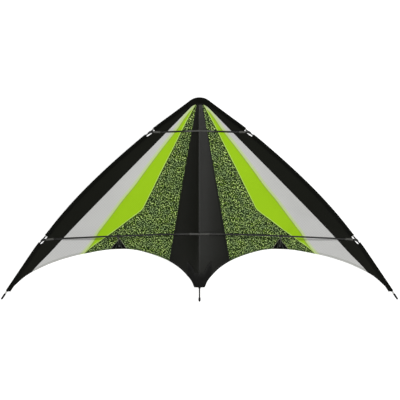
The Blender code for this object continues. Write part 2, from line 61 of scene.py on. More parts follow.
patternSeam = [(0.025, 0.0128), (0.093, 0.0500), (0.206, 0.1070), (0.303, 0.1568),
               (0.399, 0.2043), (0.436, 0.2233), (0.452, 0.2323), (0.464, 0.2463),
               (0.496, 0.2895), (0.528, 0.3313), (0.577, 0.3990), (0.609, 0.4441),
               (0.626, 0.4633)]
limeSeam = [(0.025, 0.0133), (0.037, 0.0200), (0.045, 0.0262), (0.055, 0.0385), (0.077, 0.0560),
            (0.125, 0.0890), (0.206, 0.1523), (0.303, 0.2257), (0.351, 0.2603), (0.4155, 0.3135),
            (0.480, 0.3620), (0.528, 0.3990), (0.5445, 0.4119), (0.577, 0.4295),
            (0.609, 0.4530), (0.628, 0.4695)]
greySeam = [(0.025, 0.0203), (0.160, 0.1532), (0.350, 0.3413), (0.560, 0.5444), (0.630, 0.6085),
            (0.689, 0.6655), (0.711, 0.6840)]

panelTop = 0.025
# the hem's depth past the trailing edge: less at the tail, none at the wing's end
hemDrop = {"middle": 0.0042, "tail": 0.55, "tailReach": 0.06, "wingEnd": 0.778, "wingReach": 0.04}
spar = {"radius": 0.003, "inset": 0.0041}      # inset is the spar's axis from the outer line
notches = {"upper": 0.1374, "lower": 0.5697, "length": 0.040, "reach": 0.0092,
           "wide": 0.0086, "narrow": 0.0062}      # the oval cut's edge, from the spar's axis
feet = {"u": 0.328, "s": 0.600, "discLow": -0.0040, "noseLow": -0.00918}
spreaders = {      # height, depth of the centre fitting, and end of the lower ones
    "n": 0.005, "middle": 0.5513, "tip": 0.6225,
    "upper": {"s": 0.1348, "radius": 0.0033, "sag": 0.0050, "over": 0.15, "power": 1.2},
    "lower": {"s": 0.5513, "radius": 0.0033, "fall": 21.0 / 631.0, "bow": 0.0043, "power": 0.65,
              "droop": 0.0016, "from": 0.596, "over": 0.024},
}


def spreaderAt(row, u):
    # The upper spreader sags evenly towards the tail from its middle. Each lower one falls
    # in a straight line, bowed towards the nose, and droops a little at its connector.
    a = np.abs(np.asarray(u, float))
    shape = spreaders[row]
    if row == "upper":
        depth = shape["s"] + shape["sag"] * np.clip(a / shape["over"], 0, 1)**shape["power"]
    else:
        share = np.clip(a / spreaders["tip"], 0, 1)**shape["power"]
        droop = np.clip((a - shape["from"]) / shape["over"], 0, 1)**2
        depth = (shape["s"] + a * shape["fall"] - shape["bow"] * np.sin(np.pi * share)
                 + shape["droop"] * droop)
    return np.stack([u, -depth, np.full_like(a, spreaders["n"])], -1)


def smoothCurve(knots, x):
    # cubic pieces that pass through the knots with the slope of their neighbours,
    # straight beyond both ends
    xs, ys = np.array(knots, float).T
    x = np.asarray(x, float)
    slope = np.gradient(ys, xs)
    inside = np.clip(x, xs[0], xs[-1])
    i = np.clip(np.searchsorted(xs, inside) - 1, 0, len(xs) - 2)
    h = xs[i + 1] - xs[i]
    t = (inside - xs[i]) / h
    value = ((2 * t**3 - 3 * t**2 + 1) * ys[i] + (t**3 - 2 * t**2 + t) * h * slope[i]
             + (-2 * t**3 + 3 * t**2) * ys[i + 1] + (t**3 - t**2) * h * slope[i + 1])
    return value + (x - inside) * np.where(x < xs[0], slope[0], slope[-1])


def slopeAt(knots, s, step=0.001):
    return (smoothCurve(knots, s + step) - smoothCurve(knots, s - step)) / (2 * step)


def smoothStep(x):
    x = np.clip(x, 0, 1)
    return x * x * (3 - 2 * x)


def runningLength(points):
    # distance of each row of points from the first, along them
    return np.cumsum(np.linalg.norm(np.diff(points, axis=0, prepend=points[:1]), axis=-1), 0)


def leaned(points, angle):
    # points turned about the X axis, which lies across the kite
    c = math.cos(angle)
    s = math.sin(angle)
    return np.asarray(points, float) @ np.array([[1, 0, 0], [0, c, s], [0, -s, c]])


def asItLies(points):
    # kite coordinates turned nose low and moved to where the kite lies
    return leaned(points, -kiteLie["tilt"]) + np.array(kiteLie["place"])


def onKite(points):
    # points of the kite as it lies, back in kite coordinates
    return leaned(np.array(points) - np.array(kiteLie["place"]), kiteLie["tilt"])


def trailingDepth(u):
    u = np.abs(u)
    depth = np.where(u < trailingKnots[0][0], trailingKnots[0][1], smoothCurve(trailingKnots, u))
    return (depth + hemDrop["middle"] * np.clip(u / hemDrop["tailReach"], hemDrop["tail"], 1)
            * np.clip((hemDrop["wingEnd"] - u) / hemDrop["wingReach"], 0, 1))


def edgeNormal(s):
    # unit normal of the leading edge, pointing into the sail
    slope = slopeAt(edgeKnots, s)
    length = np.sqrt(1 + slope**2)
    return np.stack([-1 / length, -slope / length], -1)


def leadingPoint(s, inward):
    s = np.asarray(s, float)
    line = np.stack([smoothCurve(edgeKnots, s), -s], -1)
    return line + edgeNormal(s) * np.asarray(inward)[..., None]


def alongEdge(middle, low, high, count):
    # depths at even steps along the leading edge, from distances each way of a middle depth
    return middle + np.linspace(low, high, count) / math.sqrt(
        1 + float(slopeAt(edgeKnots, middle))**2)


# depths at which the two notches begin and end
notchS = np.concatenate([alongEdge(notches[row], -notches["length"] / 2, notches["length"] / 2, 2)
                         for row in ("upper", "lower")])
sparAxis = leadingPoint(np.linspace(0.0, 0.82, 400), spar["inset"])

belly = {
    "ridgeDepth": 0.0008, "ridgeRound": 0.0025,
    "ridgeLean": 0.0018, "leanReach": 0.008,   # the rod pushes the ridge a little to the left
    "power": 1.15, "stops": 1.02, "fade": 0.08,      # past the feet the sail gets no deeper
    "creaseDrop": 0.0022,               # the cloth falls away more steeply beside the spine
    "creaseRound": 0.0045, "creaseFrom": 0.25,
    "ripple": 0.0007,                   # slack that tension leaves in the cloth
    "calmNose": 0.03, "calmReach": 0.2,
}


def plainSail(u, v):
    # The height falls from a ridge over the spine as half a sine wave of the share across,
    # deeper towards the tail, and comes back to the spar's plane at the leading edge.
    u = np.abs(u)
    half = np.maximum(np.interp(-v, -sparAxis[:, 1], sparAxis[:, 0]), u)
    r = belly["ridgeRound"]
    across = (np.sqrt(u**2 + r**2) - r) / (np.sqrt(half**2 + r**2) - r)
    down = np.maximum(-v, 0) / feet["s"]
    past = np.maximum(down - belly["stops"], 0)
    down = np.minimum(down, belly["stops"]) + belly["fade"] * (1 - np.exp(-past / belly["fade"]))
    deep = ((feet["s"] * math.sin(kiteLie["tilt"]) + feet["discLow"] - feet["noseLow"])
            / math.cos(kiteLie["tilt"]) - 0.5 * belly["ridgeDepth"])
    ridge = belly["ridgeDepth"] * (1 - u / half)
    return -ridge - deep * down**belly["power"] * np.sin(np.pi * across), across


def sailHeight(u, v):
    # The plain surface, less a crease beside the spine, less slow ripples that die out
    # at the spine, at the spars and at the nose. The ripples add three sine waves,
    # 5 to 26 cm long.
    u = u + belly["ridgeLean"] * np.exp(-(u / belly["leanReach"])**2)
    height, across = plainSail(u, v)
    a = np.abs(u)
    s = np.maximum(-v, 0)
    share = np.clip(a / np.maximum(smoothCurve(centreSeam, s), 0.01), 0, 1)
    crease = (1 - np.exp(-(a / belly["creaseRound"])**1.3 / 3)) * (1 - share)**1.5
    crease = crease * belly["creaseDrop"] * np.clip(s / belly["creaseFrom"], 0, 1)
    calm = (np.sin(np.pi * np.clip(across, 0, 1))
            * np.clip((s - belly["calmNose"]) / belly["calmReach"], 0, 1))
    ripple = (np.sin(u * 31 + 1.3) * np.sin(v * 24 + 0.4) + 0.6 * np.sin(a * 58 - v * 33 + 2.0)
              + 0.35 * np.sin(a * 95 + v * 71 + 0.7))
    return height - crease + belly["ripple"] * calm * ripple


def onSail(flat, offset, step=0.0005):
    # flat points lifted on to the sail, then moved along its normal
    u = flat[..., 0]
    v = flat[..., 1]
    du = (sailHeight(u + step, v) - sailHeight(u - step, v)) / (2 * step)
    dv = (sailHeight(u, v + step) - sailHeight(u, v - step)) / (2 * step)
    normal = np.stack([-du, -dv, np.ones_like(du)], -1)
    normal /= np.linalg.norm(normal, axis=-1, keepdims=True)
    return np.stack([u, v, sailHeight(u, v)], -1) + normal * np.asarray(offset)[..., None]


def newObject(name, data):
    made = bpy.data.objects.new(name, data)
    bpy.context.scene.collection.objects.link(made)
    return made


def makePiece(name, points, faces, material, body="kite", cloth=None, marks=None):
    # points are in kite coordinates; cloth is a place in metres for each, marks are numbers
    points = asItLies(points)
    used, index = np.unique(np.concatenate([f.ravel() for f in faces]), return_inverse=True)
    lists = []
    start = 0
    for f in faces:
        lists += index[start:start + f.size].reshape(f.shape).tolist()
        start += f.size
    mesh = bpy.data.meshes.new(name)
    mesh.from_pydata(points[used].tolist(), [], lists)
    mesh.polygons.foreach_set("use_smooth", np.ones(len(mesh.polygons), bool))
    corner = np.zeros(len(mesh.loops), np.int32)
    mesh.loops.foreach_get("vertex_index", corner)
    if cloth is not None:
        layer = mesh.uv_layers.new(name="cloth")
        places = cloth.reshape(-1, 2)[used][corner]
        layer.data.foreach_set("uv", places.astype(np.float32).ravel())
    for mark, values in (marks or {}).items():
        made = mesh.attributes.new(mark, "FLOAT", "POINT")
        made.data.foreach_set("value", values.reshape(-1)[used].astype(np.float32))
    mesh.materials.append(material)
    mesh.update()
    piece = newObject(name, mesh)
    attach(piece, body)
    return piece


def shellFaces(outer, inner, keep):
    # Closed shell between two grids that lie over one another: a quad for each kept cell on
    # both, and a rim quad wherever a kept cell meets a cell that isn't kept.
    rows, columns = outer.shape[:2]
    top = np.arange(rows * columns).reshape(rows, columns)
    low = top + rows * columns
    i, j = np.nonzero(keep)
    quads = [np.stack([top[i, j], top[i, j + 1], top[i + 1, j + 1], top[i + 1, j]], 1),
             np.stack([low[i, j], low[i + 1, j], low[i + 1, j + 1], low[i, j + 1]], 1)]
    padded = np.pad(keep, 1)
    rims = ((padded[:-2, 1:-1], (0, 1), (0, 0)), (padded[2:, 1:-1], (1, 0), (1, 1)),
            (padded[1:-1, :-2], (0, 0), (1, 0)), (padded[1:-1, 2:], (1, 1), (0, 1)))
    for neighbour, a, b in rims:
        i, j = np.nonzero(keep & ~neighbour)
        p = (i + a[0], j + a[1])
        q = (i + b[0], j + b[1])
        quads.append(np.stack([top[p], top[q], low[q], low[p]], 1))
    # the mirrored wing's grids run the other way round, so its faces are turned over
    lean = np.cross(outer[:-1, 1:] - outer[:-1, :-1], outer[1:, :-1] - outer[:-1, :-1])
    facing = (lean * (outer - inner)[:-1, :-1] * keep[:, :, None]).sum()
    return [q[:, ::-1] if facing < 0 else q for q in quads]


def clothPiece(name, outer, inner, material, cloth, marks, keep=None):
    if keep is None:
        keep = np.ones((outer.shape[0] - 1, outer.shape[1] - 1), bool)
    points = np.concatenate([outer.reshape(-1, 3), inner.reshape(-1, 3)])
    twice = {k: np.concatenate([m.ravel(), m.ravel()]) for k, m in marks.items()}
    return makePiece(name, points, shellFaces(outer, inner, keep), material,
                     cloth=np.concatenate([cloth.reshape(-1, 2)] * 2), marks=twice)


def wingPieces(name, outer, inner, material, cloth, marks, keep=None, mirrored=(-1, 1)):
    # one cloth for each wing; mirrored turns the left one's weave about
    return [clothPiece(word + name, outer * flip, inner * flip, material,
                       cloth if flip[0] > 0 else cloth * np.array(mirrored), marks, keep)
            for flip, word in wings]


def tubeShell(path, radii, sides=40, up=(0.3, 0.2, 1.0)):
    # a ring of the given radius about each point of the path, with closed ends
    path = np.asarray(path, float)
    radii = np.broadcast_to(np.asarray(radii, float), (len(path),))
    ahead = np.gradient(path, axis=0)
    ahead /= np.linalg.norm(ahead, axis=1, keepdims=True)
    side = np.cross(ahead, np.array(up, float))
    side /= np.linalg.norm(side, axis=1, keepdims=True)
    turn = np.linspace(0, 2 * np.pi, sides, endpoint=False)[None, :, None]
    ring = side[:, None] * np.cos(turn) + np.cross(side, ahead)[:, None] * np.sin(turn)
    points = (path[:, None] + ring * radii[:, None, None]).reshape(-1, 3)
    index = np.arange(len(path) * sides).reshape(len(path), sides)
    after = np.roll(index, -1, axis=1)
    quads = np.stack([index[:-1], after[:-1], after[1:], index[1:]], -1).reshape(-1, 4)
    return points, [quads[:, ::-1], index[:1], index[-1:, ::-1]]


def tubePiece(name, path, radii, material, sides=28, up=(0, 0, 1), body="kite"):
    # the cloth place runs round the tube at a radius of 3 mm, and along it
    points, faces = tubeShell(path, radii, sides, up)
    turn = np.linspace(0, 2 * np.pi, sides, endpoint=False)
    place = np.stack(np.meshgrid(turn * 0.003, runningLength(path)), -1)
    return makePiece(name, points, faces, material, body, place)


def standIn(node):
    if node:
        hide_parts(node)


def linear(hexColour):
    # an sRGB hex value as linear red, green and blue
    parts = np.array([int(hexColour[i:i + 2], 16) for i in (0, 2, 4)]) / 255
    parts = np.where(parts <= 0.04045, parts / 12.92, ((parts + 0.055) / 1.055)**2.4)
    return (*parts.tolist(), 1.0)


def put(tree, kind, sockets=None, **settings):
    # one node with its settings; a socket as a value makes a link
    node = tree.nodes.new("ShaderNode" + kind)
    for key, value in settings.items():
        setattr(node, key, value)
    for key, value in (sockets or {}).items():
        if isinstance(value, bpy.types.NodeSocket):
            tree.links.new(value, node.inputs[key])
        else:
            node.inputs[key].default_value = value
    return node


def sumOf(tree, operation, a, b=0.0, kind="Math"):
    return put(tree, kind, {0: a, 1: b}, operation=operation).outputs[0]


def mixed(tree, factor, a, b):
    return put(tree, "Mix", {0: factor, 6: a, 7: b}, data_type="RGBA").outputs[2]


def ranged(tree, value, low, high, first=0.0, last=1.0):
    # a value stretched from low and high to first and last, and held there beyond
    return put(tree, "MapRange", {"Value": value, "From Min": low, "From Max": high,
                                  "To Min": first, "To Max": last}).outputs[0]


def noise(tree, place, scale, detail, roughness=0.5, output=0):
    return put(tree, "TexNoise", {"Vector": place, "Scale": scale, "Detail": detail,
                                  "Roughness": roughness}).outputs[output]


def marked(tree, mark):
    return put(tree, "Attribute", attribute_name=mark).outputs["Fac"]


def clothPlace(tree):
    return put(tree, "UVMap", uv_map="cloth").outputs[0]


def newMaterial(name, look):
    made = bpy.data.materials.new(name)
    made.use_nodes = True
    tree = made.node_tree
    shader = tree.nodes["Principled BSDF"]
    shader.inputs["Roughness"].default_value = look["roughness"]
    shader.inputs["Specular IOR Level"].default_value = look["specular"]
    return made, tree, shader


def linkUp(tree, shader, colour, height, relief, depth, rough=None):
    # what every material links: its colour, its bumps and, mostly, its uneven gloss
    tree.links.new(colour, shader.inputs["Base Color"])
    bump = put(tree, "Bump", {"Strength": relief, "Distance": depth, "Height": height})
    tree.links.new(bump.outputs[0], shader.inputs["Normal"])
    if rough is not None:
        tree.links.new(rough, shader.inputs["Roughness"])


def within(tree, distance, width, soft):
    # 1 up to a distance of width, fading over soft
    return ranged(tree, distance, width, width + soft, 1.0, 0.0)


def band(tree, distance, middle, half, soft):
    off = sumOf(tree, "ABSOLUTE", sumOf(tree, "SUBTRACT", distance, middle))
    return within(tree, off, half, soft)


def stitches(tree, mark, middle, swing, pitch, thread):
    # zigzag of thread about a line: the swing follows a triangle wave along the seam
    wave = sumOf(tree, "PINGPONG", marked(tree, "along"), pitch)
    wave = sumOf(tree, "MULTIPLY", sumOf(tree, "SUBTRACT", wave, pitch / 2), 2 * swing / pitch)
    return band(tree, sumOf(tree, "SUBTRACT", marked(tree, mark), wave), middle,
                thread / 2, thread / 3)


def sewn(tree, colour, raised, rows):
    # each row of stitches coloured and raised
    for mark, middle, swing, pitch, thread, tint in rows:
        row = stitches(tree, mark, middle, swing, pitch, thread)
        colour = mixed(tree, row, colour, linear(tint))
        raised = sumOf(tree, "ADD", raised, row)
    return colour, raised


def ripstop(name, look):
    # Ripstop polyester: plain weave of about 0.2 mm threads with a doubled thread every
    # few millimetres each way, coated and calendered, so a smooth cloth with a fine grid and
    # a dull gloss. The weave is drawn at 1.2 mm, the finest that still shows.
    made, tree, shader = newMaterial(name, look)
    place = clothPlace(tree)
    grain = put(tree, "Mapping", {"Vector": place, "Rotation": (0, 0, math.radians(look["grain"]))})
    grain = grain.outputs[0]
    split = put(tree, "SeparateXYZ", {"Vector": grain})
    grid = sumOf(tree, "MAXIMUM", *[
        ranged(tree, sumOf(tree, "PINGPONG", split.outputs[axis], look["gridPitch"] / 2),
               look["gridThread"], look["gridThread"] * 1.8, 1.0, 0.0) for axis in ("X", "Y")])
    slow = noise(tree, place, 9.0, 3.0, 0.55)
    weave = noise(tree, grain, 850.0, 1.0)
    if "print" in look:
        colour = labyrinth(tree, grain, look["print"])
    else:
        colour = mixed(tree, ranged(tree, slow, 0.3, 0.7), linear(look["shade"]),
                       linear(look["colour"]))
    colour = mixed(tree, sumOf(tree, "MULTIPLY", grid, look["gridShow"]), colour,
                   linear(look["gridColour"]))
    raised = sumOf(tree, "ADD", sumOf(tree, "MULTIPLY", weave, 0.25),
                   sumOf(tree, "MULTIPLY", grid, 0.5))
    for mark, width, tint, amount, *soft in look["bands"]:
        share = within(tree, marked(tree, mark), width, soft[0] if soft else 0.0012)
        colour = mixed(tree, sumOf(tree, "MULTIPLY", share, amount), colour, linear(tint))
    colour, raised = sewn(tree, colour, raised, look["stitches"])
    if "polish" in look:
        rough = polished(tree, look["polish"], slow)
    else:
        rough = ranged(tree, slow, 0, 1, look["roughness"] - 0.06, look["roughness"] + 0.06)
    linkUp(tree, shader, colour, raised, look["relief"], 0.0004, rough)
    return made


def polished(tree, polish, slow):
    # the coated cloth is rubbed smooth where it folds and packs along the spine
    rough = ranged(tree, marked(tree, "fromSpine"), polish["start"], polish["end"],
                   polish["smooth"], polish["rough"])
    rough = sumOf(tree, "ADD", rough, ranged(tree, marked(tree, "along"), polish["dullFrom"],
                                             polish["dullTo"], 0.0, polish["dull"]))
    uneven = sumOf(tree, "MULTIPLY", sumOf(tree, "SUBTRACT", slow, 0.5), 0.08)
    return sumOf(tree, "ADD", rough, uneven)


def labyrinth(tree, place, look):
    # Screen print of short winding strokes: smooth noise cut near its middle value leaves
    # winding islands about half a wave wide, and slower noise varies the ink.
    warp = noise(tree, place, 0.8 / look["pitch"], 0.0, output="Color")
    warp = sumOf(tree, "SUBTRACT", warp, (0.5, 0.5, 0.5), "VectorMath")
    warp = sumOf(tree, "MULTIPLY", warp, (look["bend"],) * 3, "VectorMath")
    bent = sumOf(tree, "ADD", place, warp, "VectorMath")
    strokes = noise(tree, bent, 1 / look["pitch"], 0.0)
    cut = ranged(tree, strokes, look["cut"] - look["edge"], look["cut"] + look["edge"])
    fast = noise(tree, place, 0.45 / look["pitch"], 0.0)
    light = mixed(tree, ranged(tree, fast, 0.35, 0.65), linear(look["lightLow"]),
                  linear(look["lightHigh"]))
    slow = noise(tree, place, 30.0, 2.0)
    light = mixed(tree, ranged(tree, slow, 0.40, 0.62), light, linear(look["cool"]))
    return mixed(tree, cut, linear(look["dark"]), light)


# Rows of stitches: distance from the edge, swing, pitch and thread. Bands: mark, width,
# colour, amount and, where it differs, softness.
zigzag = (0.0022, 0.0011, 0.0026, 0.0006)
straight = (0.0062, 0.0, 0.0030, 0.0006)
clothLook = {"roughness": 0.62, "specular": 0.06, "grain": 48, "gridPitch": 0.006,
             "gridThread": 0.00035, "relief": 0.5}
# bright lime cloth, a little duller along its seams, where it is doubled
limeLook = dict(
    clothLook, colour="94C016", shade="92BE14", gridShow=0.10, gridColour="AED24A",
    bands=[("fromOuter", 0.0030, "8EA43A", 0.70), ("fromInner", 0.0024, "9CC444", 0.45),
           ("fromHem", 0.0080, "86AC1C", 0.35)],
    stitches=[("fromOuter", *zigzag, "8A9A55"), ("fromInner", *zigzag, "D6E6A0"),
              ("fromHem", *straight, "8FA84A")])
# light grey cloth, tinged by the lime cloth that laps it
greyLook = dict(
    clothLook, colour="BBBBB9", shade="B8B8B7", specular=0.10, gridPitch=0.008,
    gridThread=0.0006, gridShow=0.35, gridColour="CFCFCB",
    bands=[("fromHem", 0.0080, "A9AAA4", 0.55), ("fromInner", 0.0050, "B6CB7E", 0.85, 0.0085)],
    stitches=[("fromHem", *straight, "8E8F8A")])
# pale green print on a nearly black ground, which reads as a mottled dark green, with a painted
# shadow along the lime panel's lapped edge
printLook = dict(
    clothLook, grain=12, gridShow=0.06, gridColour="8CA070", relief=0.4,
    print={"pitch": 0.0040, "bend": 0.0026, "cut": 0.581, "edge": 0.03, "dark": "091A00",
           "lightLow": "769832", "lightHigh": "D0EA90", "cool": "8EA86C"},
    # the first band is a painted shadow beside the lime panel's edge
    bands=[("fromOuter", 0.0025, "26331A", 0.7), ("fromHem", 0.0080, "2E3B20", 0.35)],
    stitches=[("fromHem", *straight, "3A4630")])
# black cloth, duller than the centre panel
edgeLook = dict(
    clothLook, colour="151611", shade="13140F", roughness=0.70, grain=45, gridShow=0.25,
    gridColour="1D1D19",
    bands=[("fromInner", 0.0042, "060605", 0.8), ("fromHem", 0.0080, "0C0C0A", 0.6)],
    stitches=[("fromInner", *zigzag, "2A2A27"), ("fromHem", *straight, "2A2A27")])
# black cloth polished along the spine, so it catches the light on its folds
centreLook = dict(
    clothLook, colour="090A04", shade="080903", roughness=0.55, specular=0.25, grain=0,
    gridShow=0.20, gridColour="10100D",
    bands=[("fromOuter", 0.0035, "0A0A08", 0.6), ("fromHem", 0.0080, "0C0C0A", 0.5)],
    stitches=[("fromOuter", *zigzag, "2F2F2B"), ("fromHem", *straight, "2A2A27"),
              ("fromSpine", 0.0030, *straight[1:], "0A0A09")],
    polish={"start": 0.022, "end": 0.118, "smooth": 0.42, "rough": 0.80,
            "dullFrom": 0.63, "dullTo": 0.72, "dull": 0.16})
limeRipstop = ripstop("limeRipstop", limeLook)
greyRipstop = ripstop("greyRipstop", greyLook)
printedRipstop = ripstop("printedRipstop", printLook)
blackRipstop = ripstop("blackRipstop", edgeLook)
polishedRipstop = ripstop("polishedBlackRipstop", centreLook)

tapeLook = {"colour": "090A07", "worn": "0D0E0A", "roughness": 0.75, "specular": 0.05,
            "rib": 0.0016, "rows": [("fromHem", 0.0030, 0.0, 0.0030, 0.0007, "20201D")]}


def wovenTape(name, look):
    # Polyester sailcloth tape: a stiff close plain weave with a slight rib, dull and
    # even in colour. The rib is drawn at 1.6 mm, coarser than real, so that it shows.
    made, tree, shader = newMaterial(name, look)
    place = clothPlace(tree)
    split = put(tree, "SeparateXYZ", {"Vector": place})
    ribs = []
    for axis, amount in (("Y", 0.4), ("X", 0.3)):
        wave = sumOf(tree, "PINGPONG", split.outputs[axis], look["rib"] / 2)
        ribs.append(sumOf(tree, "MULTIPLY", sumOf(tree, "MULTIPLY", wave, 2 / look["rib"]), amount))
    slow = noise(tree, place, 25.0, 3.0)
    colour = mixed(tree, ranged(tree, slow, 0.35, 0.65), linear(look["colour"]),
                   linear(look["worn"]))
    colour, raised = sewn(tree, colour, sumOf(tree, "ADD", *ribs), look["rows"])
    rough = None
    if "fade" in look:
        # rubbed smooth like the panel at its top, dull at the tail
        rough = ranged(tree, marked(tree, "fromTop"), 0.0, look["fade"], 0.58, 0.95)
    linkUp(tree, shader, colour, raised, 0.5, 0.0004, rough)
    return made


sleeveTape = wovenTape("blackSailclothTape", tapeLook)
# the patch is darker, with pale thread round it and two broad rows up its middle
patchTape = wovenTape("blackReinforcement", dict(
    tapeLook, colour="030303", worn="060605",
    rows=[("fan", 0.0, 0.0, 0.0030, 0.0022, "343A35"),
          ("fromHem", 0.0011, 0.0008, 0.0030, 0.0009, "9AA088")]))
tailTape = wovenTape("blackTailReinforcement", dict(
    tapeLook, colour="070706", worn="10100F", specular=0.22, fade=0.022,
    rows=[("fromHem", 0.0025, 0.0, 0.0030, 0.0007, "20201D")]))


def rodMaterial(name, look):
    # Pultruded fibreglass: glass strands in resin run lengthwise, drawn as fine streaks
    # along the rod, with the gloss of ground resin.
    made, tree, shader = newMaterial(name, look)
    place = clothPlace(tree)
    stretched = put(tree, "Mapping", {"Vector": place, "Scale": (1500, 40, 1)}).outputs[0]
    fibre = noise(tree, stretched, 1.0, 3.0)
    rub = noise(tree, place, 60.0, 2.0)
    colour = mixed(tree, ranged(tree, fibre, 0.35, 0.65), linear(look["dark"]),
                   linear(look["light"]))
    # a paler band along the rod is a painted highlight
    if "worn" in look:
        far = put(tree, "SeparateXYZ", {"Vector": place}).outputs["Y"]
        colour = mixed(tree, band(tree, far, *look["wornAt"]), colour, linear(look["worn"]))
    rough = ranged(tree, rub, 0, 1, look["roughness"] - 0.08, look["roughness"] + 0.10)
    linkUp(tree, shader, colour, fibre, 0.15, 0.0002, rough)
    return made


# each rod's painted highlight is placed by its distance along the rod, half its length and its
# softness
rodLook = {"dark": "090907", "light": "11110E", "roughness": 0.38, "specular": 0.32}
blackRod = rodMaterial("pultrudedFibreglass", rodLook)
# painted highlight: the rod is paler in its middle
paintedHighlightRod = rodMaterial("pultrudedFibreglassPaintedHighlight", dict(
    rodLook, worn="444441", wornAt=(0.194, 0.050, 0.016)))
# painted highlight: the lower spreaders are paler beside the centre fitting
paintedHighlightLowerRod = rodMaterial("pultrudedFibreglassHandled", dict(
    rodLook, worn="2C2C2A", wornAt=(0.050, 0.025, 0.016)))
dullRod = rodMaterial("pultrudedFibreglassDull", dict(rodLook, roughness=0.6, specular=0.12))
# the spine is greyer, its resin rubbed dull by the cloth
greyRod = rodMaterial("pultrudedFibreglassSpine", {"dark": "2C2C2A", "light": "3C3C3A",
                                                   "roughness": 0.5, "specular": 0.16})


def mouldedMaterial(name, colour, scuffed, specular, paintedLit=None):
    # Moulded fitting: soft mould texture of fine pits, with scuffs a little paler and
    # rougher than the skin.
    look = {"roughness": 0.5, "specular": specular}
    made, tree, shader = newMaterial(name, look)
    place = put(tree, "TexCoord").outputs["Object"]
    pits = noise(tree, place, 1400.0, 2.0)
    scuff = noise(tree, place, 140.0, 4.0, 0.6)
    tone = mixed(tree, ranged(tree, scuff, 0.5, 0.7), linear(colour), linear(scuffed))
    # painted light: a mark blends the fitting towards a paler colour
    if paintedLit:
        tone = mixed(tree, marked(tree, "stretched"), tone, linear(paintedLit))
    rough = ranged(tree, scuff, 0, 1, look["roughness"] - 0.1, look["roughness"] + 0.12)
    linkUp(tree, shader, tone, pits, 0.25, 0.0002, rough)
    return made


softVinyl = mouldedMaterial("softVinylFitting", "3C3C39", "494945", 0.4)
# the same vinyl with painted shade, dark over the boss and the arm's root, and painted light, paler
# on the arm's outer part
paintedShadeVinyl = mouldedMaterial("stretchedVinylFitting", "0C0C0A", "161613", 0.3, "454541")
darkVinyl = mouldedMaterial("darkVinylFitting", "12130F", "1C1D17", 0.3)
paleVinyl = mouldedMaterial("paleVinylStop", "B0B0AC", "A0A09B", 0.3)
# harder and nearly black, so the caps show only by their gloss
hardPlastic = mouldedMaterial("mouldedPolyethylene", "080807", "10100F", 0.25)
print("materials ready:", len(bpy.data.materials))

# The sail's panels. Each one is a closed shell of thin cloth. Where two meet, the upper one
# ends on the seam and the lower one goes on under it, as in a lapped and sewn seam.
sailCloth = {
    "thickness": 0.0003,
    "lap": 0.0055, "lapDrop": 0.00045, "lapSoft": 0.002,
    "hem": 0.008, "hemRise": 0.00022, "leechLine": 0.0005,
    "rows": 150,
    # distances from the trailing edge of the last rows, close together over the hem
    "hemRows": np.array([0.0095, 0.0085, 0.007, 0.005, 0.0035, 0.0022, 0.0012, 0.0004, 0.0]),
}


def seamAt(knots, s, lap):
    # a seam moved outwards by a lap, which is narrower where the panels are narrow
    ease = np.clip((s - 0.015) / 0.12, 0.05, 1)
    return smoothCurve(knots, s) + lap * ease * np.sqrt(1 + slopeAt(knots, s, 0.002)**2)


def seamDistance(knots, flat):
    # distance outwards from a seam, measured square to it
    s = -flat[..., 1]
    return (flat[..., 0] - smoothCurve(knots, s)) / np.sqrt(1 + slopeAt(knots, s, 0.002)**2)


def hemDistance(flat):
    u = np.abs(flat[..., 0])
    slope = (trailingDepth(u + 0.001) - trailingDepth(u - 0.001)) / 0.002
    level = trailingDepth(0.0) + flat[..., 1]
    return np.minimum((trailingDepth(u) + flat[..., 1]) / np.sqrt(1 + slope**2), level)


def seamTrack(knots, lap):
    # a function from a share down the seam, from the top to the trailing edge, to its point
    s = np.linspace(0.55, 0.79, 2401)
    past = s > trailingDepth(seamAt(knots, s, lap))
    end = float(s[np.argmax(past)]) if past.any() else knots[-1][0]

    def at(t):
        depth = panelTop + (end - panelTop) * t
        return np.stack([seamAt(knots, depth, lap), -depth], -1)
    return at


def onTrail(u):
    return np.concatenate([u, -trailingDepth(u)], -1)


def between(left, right, t, c):
    # Coons patch: the sum of the blend between the sides and the blend between the ends,
    # less the blend between the corners
    zero = np.zeros_like(t)
    one = np.ones_like(t)
    a0, a1, b0, b1 = left(zero), left(one), right(zero), right(one)
    t = t[..., None]
    c = c[..., None]
    top = a0 * (1 - c) + b0 * c
    bottom = (onTrail((a1 * (1 - c) + b1 * c)[..., :1]) + (1 - c) * (a1 - onTrail(a1[..., :1]))
              + c * (b1 - onTrail(b1[..., :1])))
    sides = (1 - c) * left(t[..., 0]) + c * right(t[..., 0])
    corners = (1 - c) * (1 - t) * a0 + c * (1 - t) * b0 + (1 - c) * t * a1 + c * t * b1
    return sides + (1 - t) * top + t * bottom - corners


def panelShares(left, right, columns, stations=()):
    # rows closer together towards the nose, with the last few at the hem's own distances;
    # given stations are kept as whole rows
    c = 0.5 - 0.5 * np.cos(np.linspace(0, np.pi, columns + 1))
    ends = between(left, right, np.array([[0.0], [1.0]]) * np.ones_like(c), np.stack([c, c]))
    length = np.linalg.norm(ends[1] - ends[0], axis=-1)
    hem = 1 - sailCloth["hemRows"][:, None] / length
    last = hem[0] - 0.004 / length
    t = np.linspace(0, 1, sailCloth["rows"])**1.2
    t = np.unique(np.concatenate([t, stations]))[:, None] * np.ones_like(c)
    t = t[(t <= last).all(1)] if len(stations) else t * last
    t = np.concatenate([t, hem])
    return t, np.repeat(c[None], len(t), 0)


